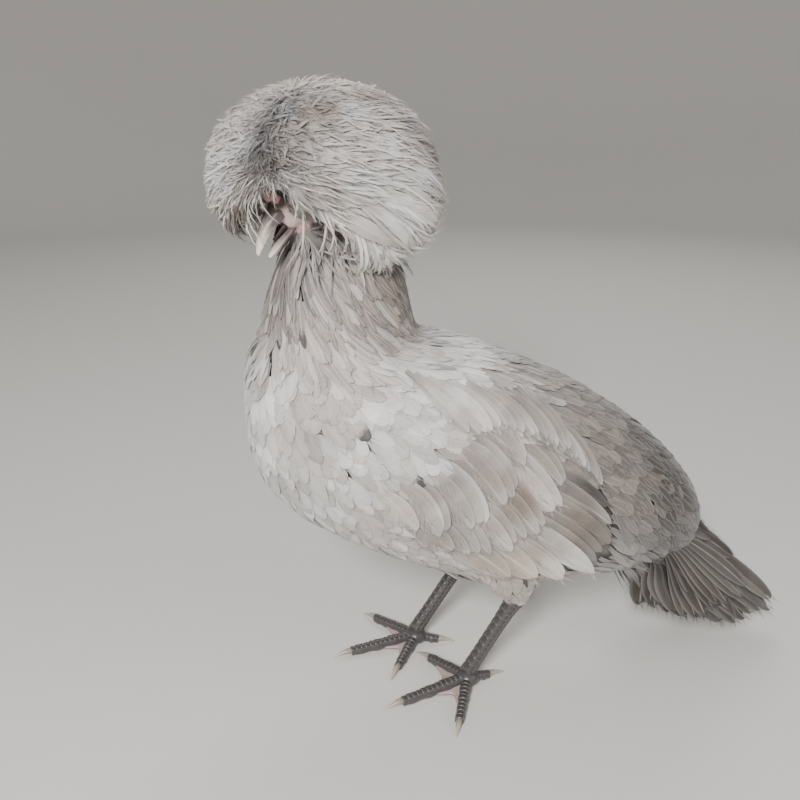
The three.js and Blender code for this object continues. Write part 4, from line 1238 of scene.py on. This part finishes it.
# Crest, from the inside out, with the nodes that a piece replaces. Layers: number of feathers, how soon
# they reach the globe, depth as a share of it, length in degrees, width, stations, columns, number of
# barbs, sway, spread of the colour, thickness and width of the barbs, how far tips stand out, and what else
# differs
CREST_PIECES = {
    "crest_under": ((), [
        # the innermost layer is painted darker, as shade under the outer layers
        (450, 2.4, 0.84, 38, 2.4, 8, 2, 20, 0.2, 0.1, 0.5, 11, 0.0, {"past": 0, "shade": 0.62}),
        (fewer(950), 2.6, 0.965, 50, 11, 8, 5, 20, 0.06, 0.05, 0.45, 13, 0.01, {"roll": 0.03}),
    ]),
    "crest_middle": ((), [(fewer(2200), 2.4, 0.982, 52, 2.6, 8, 2, 17, 0.12, 0.07, 0.55, 8, 0.01, {})]),
    "crest_over": (("crest",), [(fewer(2200), 2.3, 0.992, 50, 1.3, 8, 2, 17, 0.2, 0.12, 0.36, 9, 0.05, {})]),
    "crest_ends": ((), [
        (110, 2.3, 1.0, 40, 1.2, 8, 2, 12, 0.15, 0.2, 0.4, 3, 0.03,
         {"headings": (-30, 38), "past": 7, "roll": 0.3, "colour": rgb(84, 68, 56)}),
        (260, 2.3, 0.985, 40, 1.8, 8, 2, 26, 0.2, 0.06, 0.45, 9, 0.05,
         {"headings": (128, 160), "past": 7, "roll": 0.2, "colour": rgb(232, 229, 224)}),
        (260, 2.3, 1.0, 30, 1.2, 8, 2, 10, 0.35, 0.1, 0.35, 6, 0.08,
         {"past": 4, "roll": 0.3, "colour": rgb(212, 204, 194)}),
    ]),
}
for name, (replaced, layers) in CREST_PIECES.items():
    crest = Coat()
    for *row, more in layers:
        crest_feathers(crest, *row, **more)
    crest.make(name, SOFT, "crest", replaced)


# Face
def plain_material(name, colour, roughness, speckle, scale, bump, **more):
    made, tree, shader = material(name, Roughness=roughness, **more)
    fine = noise(tree, scale, 5.0, 0.6)
    shade = math_node(tree, "MULTIPLY_ADD", fine, 2 * speckle, 1 - speckle)
    finish(tree, shader, darkened(tree, (*colour, 1), shade), fine, bump)
    return made


def tinted_material(name, low, high, roughness, bump):
    """Two colours that the tint of the points mixes."""
    made, tree, shader = material(name, Roughness=roughness)
    cloud = swing(tree, noise(tree, 420.0, 4.0, 0.6), 0.5)
    tint = math_node(tree, "ADD", attribute(tree, "tint"), cloud, clamp=True)
    colour = mix_colour(tree, tint, (*low, 1), (*high, 1))
    finish(tree, shader, colour, noise(tree, 500.0, 5.0, 0.6), bump)
    return made


# Bare parts: colour, roughness, speckle, scale of the grain, bump
# the mouth's lining is painted dark: painted shade in the gap between the halves of the beak
MOUTH = plain_material("mouth", rgb(58, 40, 40), 0.5, 0.2, 500.0, 0.3)
LOBE = plain_material("lobe", rgb(206, 152, 156), 0.45, 0.15, 420.0, 0.5, Subsurface_Weight=0.2,
                      Subsurface_Scale=0.002)
EAR = plain_material("earlobe", rgb(226, 214, 206), 0.5, 0.08, 420.0, 0.5)
WEB = plain_material("web", rgb(172, 150, 145), 0.5, 0.15, 500.0, 0.3)
# Horny parts: their two colours, roughness, bump
HORN = tinted_material("horn", rgb(112, 98, 100), rgb(236, 222, 206), 0.34, 0.12)
LEG = tinted_material("leg", rgb(66, 63, 64), rgb(108, 103, 99), 0.3, 0.25)
CLAW = tinted_material("claw", rgb(112, 104, 98), rgb(188, 176, 162), 0.35, 0.1)


def beak(name, rows, flat, tips):
    """One half of the beak. Its thin side is below for a flat of 1, above for -1; it is pale from tips on."""
    shape = Shape()
    n, rings = 40, 34
    a = turn(n)
    t = np.linspace(0, 1, rings)
    out = []
    for s, (far, up, wide, high) in zip(t, along(rows, t)):
        keel = np.sign(np.sin(a)) * np.abs(np.sin(a)) ** 0.9
        tall = high * np.where(keel * flat > 0, 1, 0.3)
        c = np.sign(np.cos(a)) * np.abs(np.cos(a)) ** 0.85 * wide
        ring = on_head(np.full(n, far), c, up + keel * tall)
        if flat > 0:
            # the soft cover of the nostril, with a slit under it
            cover = np.exp(-((far - 27) / 4.6) ** 2) * np.exp(-((np.abs(np.cos(a)) - 0.82) / 0.2) ** 2)
            slit = np.exp(-((far - 27.5) / 3.4) ** 2) * np.exp(-((np.sin(a) - 0.26) / 0.09) ** 2)
            middle = on_head(np.full(n, far), np.zeros(n), np.full(n, up))
            ring = ring + unit(ring - middle) * (1.1 * cover * (np.sin(a) > 0.1) - 1.3 * slit)[:, None]
        out.append(ring)
    shade = smooth_step(tips, 1.0, t)[:, None] * np.ones(n)
    if flat > 0:
        # painted shade in the slit under the nostril's cover
        dark = np.exp(-((along(rows, t)[:, 0] - 28) / 4.5) ** 2)[:, None]
        dark = dark * np.exp(-((np.sin(a) - 0.26) / 0.16) ** 2)
        shade = shade - 1.2 * dark
    shape.loft(np.array(out), value=shade)
    shape.make(name, HORN, "beak", (name.replace("_horn", ""),))


beak("beak_upper_horn", BEAK_UPPER, 1, 0.25)
beak("beak_lower_horn", BEAK_LOWER, -1, 0.35)

mouth = Shape()
MOUTH_LINING = [
    [12, -4.6, 5.6, 3.4],
    [18, -5.0, 5.0, 3.2],
    [24, -5.8, 4.0, 2.6],
    [30, -7.4, 2.4, 1.8],
    [35, -9.2, 0.8, 0.6],
]
ring_turn = turn(24)
mouth.loft([on_head(np.full(24, far), np.cos(ring_turn) * wide, up + np.sin(ring_turn) * high)
            for far, up, wide, high in along(MOUTH_LINING, np.linspace(0, 1, 16))])
mouth.make("mouth", MOUTH, "beak")

def lumpy(rings, amount, size, centre):
    """Small folds over a rounded piece."""
    p = rings.reshape(-1, 3)
    x, y, z = p[:, 0] / size, p[:, 1] / size, p[:, 2] / size
    wave = np.sin(x) * np.cos(y * 1.3) + np.sin(z * 1.2 + x * 0.6)
    return (p + unit(p - centre) * (amount * wave)[:, None]).reshape(rings.shape)


PUPIL = (0.003, 0.003, 0.003)
# Rings of the eye, by how far round the ball they lie from the middle of the pupil
EYE_RINGS = [(0.30, PUPIL), (0.34, rgb(120, 62, 24)), (0.52, rgb(176, 98, 34)), (0.60, rgb(70, 40, 24))]


def eye_material():
    made, tree, shader = material("eye", Roughness=0.12, Coat_Weight=1.0, Coat_Roughness=0.02)
    ramp = node(tree, "ShaderNodeValToRGB", {"Fac": attribute(tree, "tint")})
    stops = ramp.color_ramp.elements
    stops[0].color = (*PUPIL, 1)
    stops[1].color = (*rgb(60, 44, 36), 1)
    for place, colour in EYE_RINGS:
        stops.new(place).color = (*colour, 1)
    tree.links.new(ramp.outputs["Color"], shader.inputs["Base Color"])
    return made


EYE = eye_material()

for side_name, side in SIDES.items():
    # the head's own left is where its out axis points, which is the hen's left
    hand = 1.0 if side_name == "left" else -1.0
    centre = on_head(EYE_PLACE[0], hand * EYE_PLACE[1], EYE_PLACE[2])
    look = unit(HEAD_OUT * hand + HEAD_ALONG * 0.35)
    up = unit(HEAD_UP - look * (HEAD_UP @ look))
    cross = np.cross(up, look)
    s = np.linspace(0.0, math.pi, 32)
    a = turn(36)
    bulge = 1 + 0.05 * np.exp(-(s / 0.5) ** 2)
    spokes = np.cos(a)[:, None] * cross + np.sin(a)[:, None] * up
    ball = np.cos(s)[:, None, None] * look + np.sin(s)[:, None, None] * spokes
    rings = centre + EYE_RADIUS * bulge[:, None, None] * ball
    eye = Shape()
    eye.loft(rings, value=(s / math.pi * 1.9)[:, None] * np.ones(36))
    eye.make(f"eyeball_{side_name}", EYE, "eye", (f"eye_{side_name}",))
    lids = Shape()
    tube = []
    for angle in turn(48):
        squeeze = 1 - 0.22 * abs(math.sin(angle))
        spoke = math.cos(angle) * cross + math.sin(angle) * up * squeeze
        mid = centre + spoke * 4.3 + look * (1.7 + 0.5 * abs(math.sin(angle)))
        b = turn(10)
        thick = 0.85 + 0.12 * math.sin(angle * 9)
        tube.append(mid + np.cos(b)[:, None] * unit(spoke) * thick + np.sin(b)[:, None] * look * thick * 0.8)
    tube.append(tube[0])
    lids.loft(np.array(tube), caps=False)
    lids.make(f"lids_{side_name}", LOBE, "face")
    for kind, place, half, amount, size, skin, slot in (
            ("earlobe", (-4, 18.2, -6), (4.6, 2.2, 4.0), 0.16, 0.9, EAR, "earlobe"),
            ("wattle", (16, 6.4, -12.5), (4.4, 2.3, 5.0), 0.22, 0.8, LOBE, "comb")):
        at = on_head(place[0], hand * place[1], place[2])
        soft = Shape()
        soft.loft(lumpy(ellipsoid(at, half, 24, 30, HEAD_AXES), amount, size, at))
        soft.make(f"{kind}_skin_{side_name}", skin, slot, (f"{kind}_{side_name}",))


def ring_tube(centre, radius, n, out, other, flat=1.0):
    """Rings of n points round a row of places, in the plane of two directions."""
    a = turn(n)[None, :, None]
    out, other = (np.broadcast_to(v, centre.shape)[:, None] for v in (out, other))
    return centre[:, None] + radius[:, None, None] * (np.cos(a) * out + flat * np.sin(a) * other)


def tube_rings(line, radii, rings, n):
    rows = along(np.column_stack([line, radii]), np.linspace(0, 1, rings))
    centre = rows[:, :3]
    ahead = unit(np.gradient(centre, axis=0))
    out = unit(np.cross([0.0, 1.0, 0.02], ahead))
    return ring_tube(centre, rows[:, 3], n, out, np.cross(ahead, out))


comb = Shape()
for hand in (1.0, -1.0):
    root, tip = on_head(20.5, hand * 1.8, 7.5), on_head(23.5, hand * 5.6, 15.5)
    line = np.array([root + (tip - root) * share for share in (-0.1, 0.35, 0.75, 1.0)])
    rings = tube_rings(line, [2.6, 2.9, 2.2, 0.9], 20, 22)
    comb.loft(lumpy(rings, 0.18, 0.8, line.mean(0)))
comb.make("comb_skin", LOBE, "comb", ("comb",))


# Legs
def heading_way(degrees):
    return np.array([-math.cos(math.radians(degrees)), -math.sin(math.radians(degrees)), 0.0])


def plate(shape, start, end, radius, middle, reach, lift, out, up, overlap=1.08):
    """A curved scute on a tube: closed, its lower edge proud of the next."""
    s = np.linspace(0, 1, 7)
    a = np.linspace(-1, 1, 9)
    slope = 0.35 + 0.65 * smooth_step(0, 0.5, s) * (1 - 0.6 * smooth_step(0.9, 1, s))
    rise = lift * (1 - 0.85 * np.abs(a) ** 3.0)[None] * slope[:, None]
    angle = middle + a * reach * (1 - 0.25 * (2 * s[:, None] - 1) ** 6)
    base = (start + (end - start) * (s * overlap)[:, None])[:, None]
    spoke = np.cos(angle)[..., None] * out + np.sin(angle)[..., None] * up
    top = base + (radius + rise)[..., None] * spoke
    low = base + (radius - 0.6) * spoke
    edge = np.maximum(smooth_step(0.72, 1.0, s)[:, None], smooth_step(0.8, 1.0, np.abs(a))[None]) * 0.9
    shape.loft(np.concatenate([top, low[:, ::-1]], axis=1),
               value=np.concatenate([edge, edge[:, ::-1]], axis=1))


def toe_places(leg, name):
    """Root, end and direction of a toe."""
    length, thick, thin = TOES[name]
    way = heading_way(leg["toes"][name])
    x, y, _ = leg["foot"]
    root = np.array([x, y, thick * SOLE + 2.2]) + way * 3
    end = np.array([x, y, thin * SOLE]) + way * length
    return root, end, way


for side_name, leg in LEGS.items():
    hock, ankle = np.array(leg["hock"], float), np.array(leg["foot"], float)
    shank = Shape()
    t = np.linspace(-0.06, 1.0, 30)
    radius = SHANK_RADIUS * (1.12 - 0.16 * smooth_step(0, 0.4, t) + 0.06 * smooth_step(0.75, 1.0, t))
    radius = radius * (1 + 0.25 * np.exp(-((t + 0.02) / 0.09) ** 2))
    ahead = unit(ankle - hock)
    front = unit(np.cross(np.cross(ahead, [-1.0, 0, 0]), ahead))
    other = np.cross(ahead, front)
    down = ankle - hock
    shank.loft(ring_tube(hock + down * t[:, None], radius * 0.96, 24, front, other, 0.9), value=0.25)
    # two rows of large scutes in front, and small ones at the sides and behind
    number = 11
    for middle, shift in ((-0.52, 0.0), (0.52, 0.45)):
        for i in range(number):
            s0, s1 = (i + shift) / (number + 0.4), (i + 1 + shift) / (number + 0.4)
            near = np.interp((s0 + s1) / 2, t, radius) * 0.97
            plate(shank, hock + down * s0, hock + down * s1, near, middle, 0.56, 0.55, front, other)
    for i in range(16):
        for j, middle in enumerate(np.linspace(1.45, 4.85, 6)):
            s0 = (i + 0.5 * (j % 2)) / 16.5
            near = np.interp(s0, t, radius) * 0.95
            start, end = hock + down * s0, hock + down * (s0 + 1 / 17)
            plate(shank, start, end, near, middle, 0.30, 0.32, front, other * 0.92, 1.0)
    shank.make(f"shank_scutes_{side_name}", LEG, "shank", (f"shank_{side_name}",))

    foot = Shape()
    palm = ellipsoid((leg["foot"][0], leg["foot"][1], 6.2), (8.2, 8.2, 6.2), 20, 28)
    palm[..., 2] = np.maximum(palm[..., 2], 0.4)
    foot.loft(palm, value=0.15)
    for name, (_, thick, thin) in TOES.items():
        root, end, way = toe_places(leg, name)
        beside = np.array([-way[1], way[0], 0.0])
        up = np.cross(unit(end - root), beside)
        up = up * np.sign(up[2])
        s = np.linspace(-0.04, 1.0, 40)
        bulge = sum(np.exp(-((s - joint) / 0.07) ** 2) for joint in TOE_JOINTS[name])
        r = (thick + (thin - thick) * s) * (0.90 + 0.13 * bulge)
        rings = ring_tube(root + (end - root) * s[:, None], r, 22, beside, up)
        under = np.clip(-np.sin(turn(22)), 0, 1)[None]
        rings[..., 2] = np.maximum(rings[..., 2] - 0.55 * bulge[:, None] * under, 0.25)
        foot.loft(rings, value=0.2 + 0.5 * under * np.ones((len(s), 1)))
        number = TOE_SCUTES[name]
        for i in range(number):
            s0, s1 = (i + 0.1) / number, (i + 1.0) / number
            near = (thick + (thin - thick) * s0) * (0.93 + 0.10 * np.interp(s0, s, bulge))
            start, end_here = root + (end - root) * s0, root + (end - root) * s1
            plate(foot, start, end_here, near, math.pi / 2, 0.95, 0.5, beside, up, 1.12)
    foot.make(f"foot_scutes_{side_name}", LEG, "shank", (f"foot_{side_name}",))
    webs = Shape()
    for one, other_toe in (("second", "middle"), ("middle", "outer")):
        ways = [toe_places(leg, name)[2] for name in (one, other_toe)]
        base = np.array([leg["foot"][0], leg["foot"][1], 3.2])
        rows = []
        for q in np.linspace(0, 1, 12):
            way = unit(ways[0] * (1 - q) + ways[1] * q)
            far = 33 - 15 * math.sin(math.pi * q)
            line = [base + way * (far * f) + np.array([0, 0, 2.4 - 3.2 * f]) for f in np.linspace(0.1, 1, 7)]
            edge = np.array([0, 0, 0.7])
            rows.append([p + edge for p in line] + [p - edge for p in line[::-1]])
        webs.loft(np.array(rows))
    webs.make(f"webs_{side_name}", WEB, "shank")

    for name, (_, _, thin) in TOES.items():
        _, end, way = toe_places(leg, name)
        stations = ((-1.5, thin * 0.95), (CLAW_LENGTH * 0.3, thin * 1.1), (CLAW_LENGTH * 0.7, thin * 0.85),
                    (CLAW_LENGTH + thin, 1.0))
        line = np.array([end + way * far + np.array([0, 0, z - end[2]]) for far, z in stations])
        claw = Shape()
        rings = tube_rings(line, [2.0, 2.0, 1.35, 0.35], 22, 18)
        rings[..., 2] = np.maximum(rings[..., 2], 0.15)
        claw.loft(rings, value=np.linspace(0.2, 1, 22)[:, None] * np.ones(18))
        claw.make(f"nail_{name}_{side_name}", CLAW, "claw", (f"claw_{name}_{side_name}",))


# Floor, light and camera
def stage_dish():
    """A round floor that bends up into a wall."""
    flat, bend, top, sides = 2.4, 0.9, 4.5, 96
    profile = [(0.0, 0.0), (1.0, 0.0), (flat, 0.0)]
    profile += [(flat + bend * math.sin(q), bend - bend * math.cos(q))
                for q in np.linspace(0.1, math.pi / 2, 14)]
    profile.append((flat + bend, top))
    rings = np.array([[(r * math.cos(q), r * math.sin(q), z) for q in turn(sides)] for r, z in profile])
    quads, _ = ring_faces(len(rings), sides, caps=False)
    mesh = bpy.data.meshes.new("floor")
    mesh.from_pydata(rings.reshape(-1, 3).tolist(), [], quads[:, ::-1].tolist())
    mesh.polygons.foreach_set("use_smooth", np.ones(len(quads), bool))
    floor = bpy.data.objects.new("floor", mesh)
    bpy.context.scene.collection.objects.link(floor)
    mesh.materials.append(plain_material("floor_paint", rgb(214, 211, 206), 0.8, 0.02, 30.0, 0.0))


def area_light(name, place, size, power):
    lamp = bpy.data.lights.new(name, "AREA")
    lamp.shape = "DISK"
    lamp.size = size
    lamp.energy = power
    made = bpy.data.objects.new(name, lamp)
    made.location = place
    made.rotation_euler = (LIT_PLACE - Vector(place)).to_track_quat("-Z", "Y").to_euler()
    bpy.context.scene.collection.objects.link(made)


LIT_PLACE = Vector((0, 0, 0.2))
stage_dish()
area_light("key", (-0.6, -1.25, 1.05), 0.4, 37)
area_light("fill", (1.4, -0.9, 1.2), 1.2, 7)
area_light("back", (0.5, 1.5, 1.7), 1.0, 12)
world = bpy.data.worlds.new("sky")
world.use_nodes = True
world.node_tree.nodes["Background"].inputs["Color"].default_value = (0.95, 0.97, 1.0, 1)
world.node_tree.nodes["Background"].inputs["Strength"].default_value = 0.4
bpy.context.scene.world = world

CAMERA_AT = Vector((-0.1615, -0.4904, 0.386))
CAMERA_DOWN = math.radians(20)
LEVEL = math.cos(CAMERA_DOWN)
CAMERA_WAY = Vector((0.139 * LEVEL, 0.990 * LEVEL, -math.sin(CAMERA_DOWN)))
lens = bpy.data.cameras.new("camera")
lens.sensor_width = 36
lens.lens = 36
lens.clip_start = 0.01
camera = bpy.data.objects.new("camera", lens)
camera.location = CAMERA_AT
camera.rotation_euler = CAMERA_WAY.to_track_quat("-Z", "Y").to_euler()
bpy.context.scene.collection.objects.link(camera)
bpy.context.scene.camera = camera
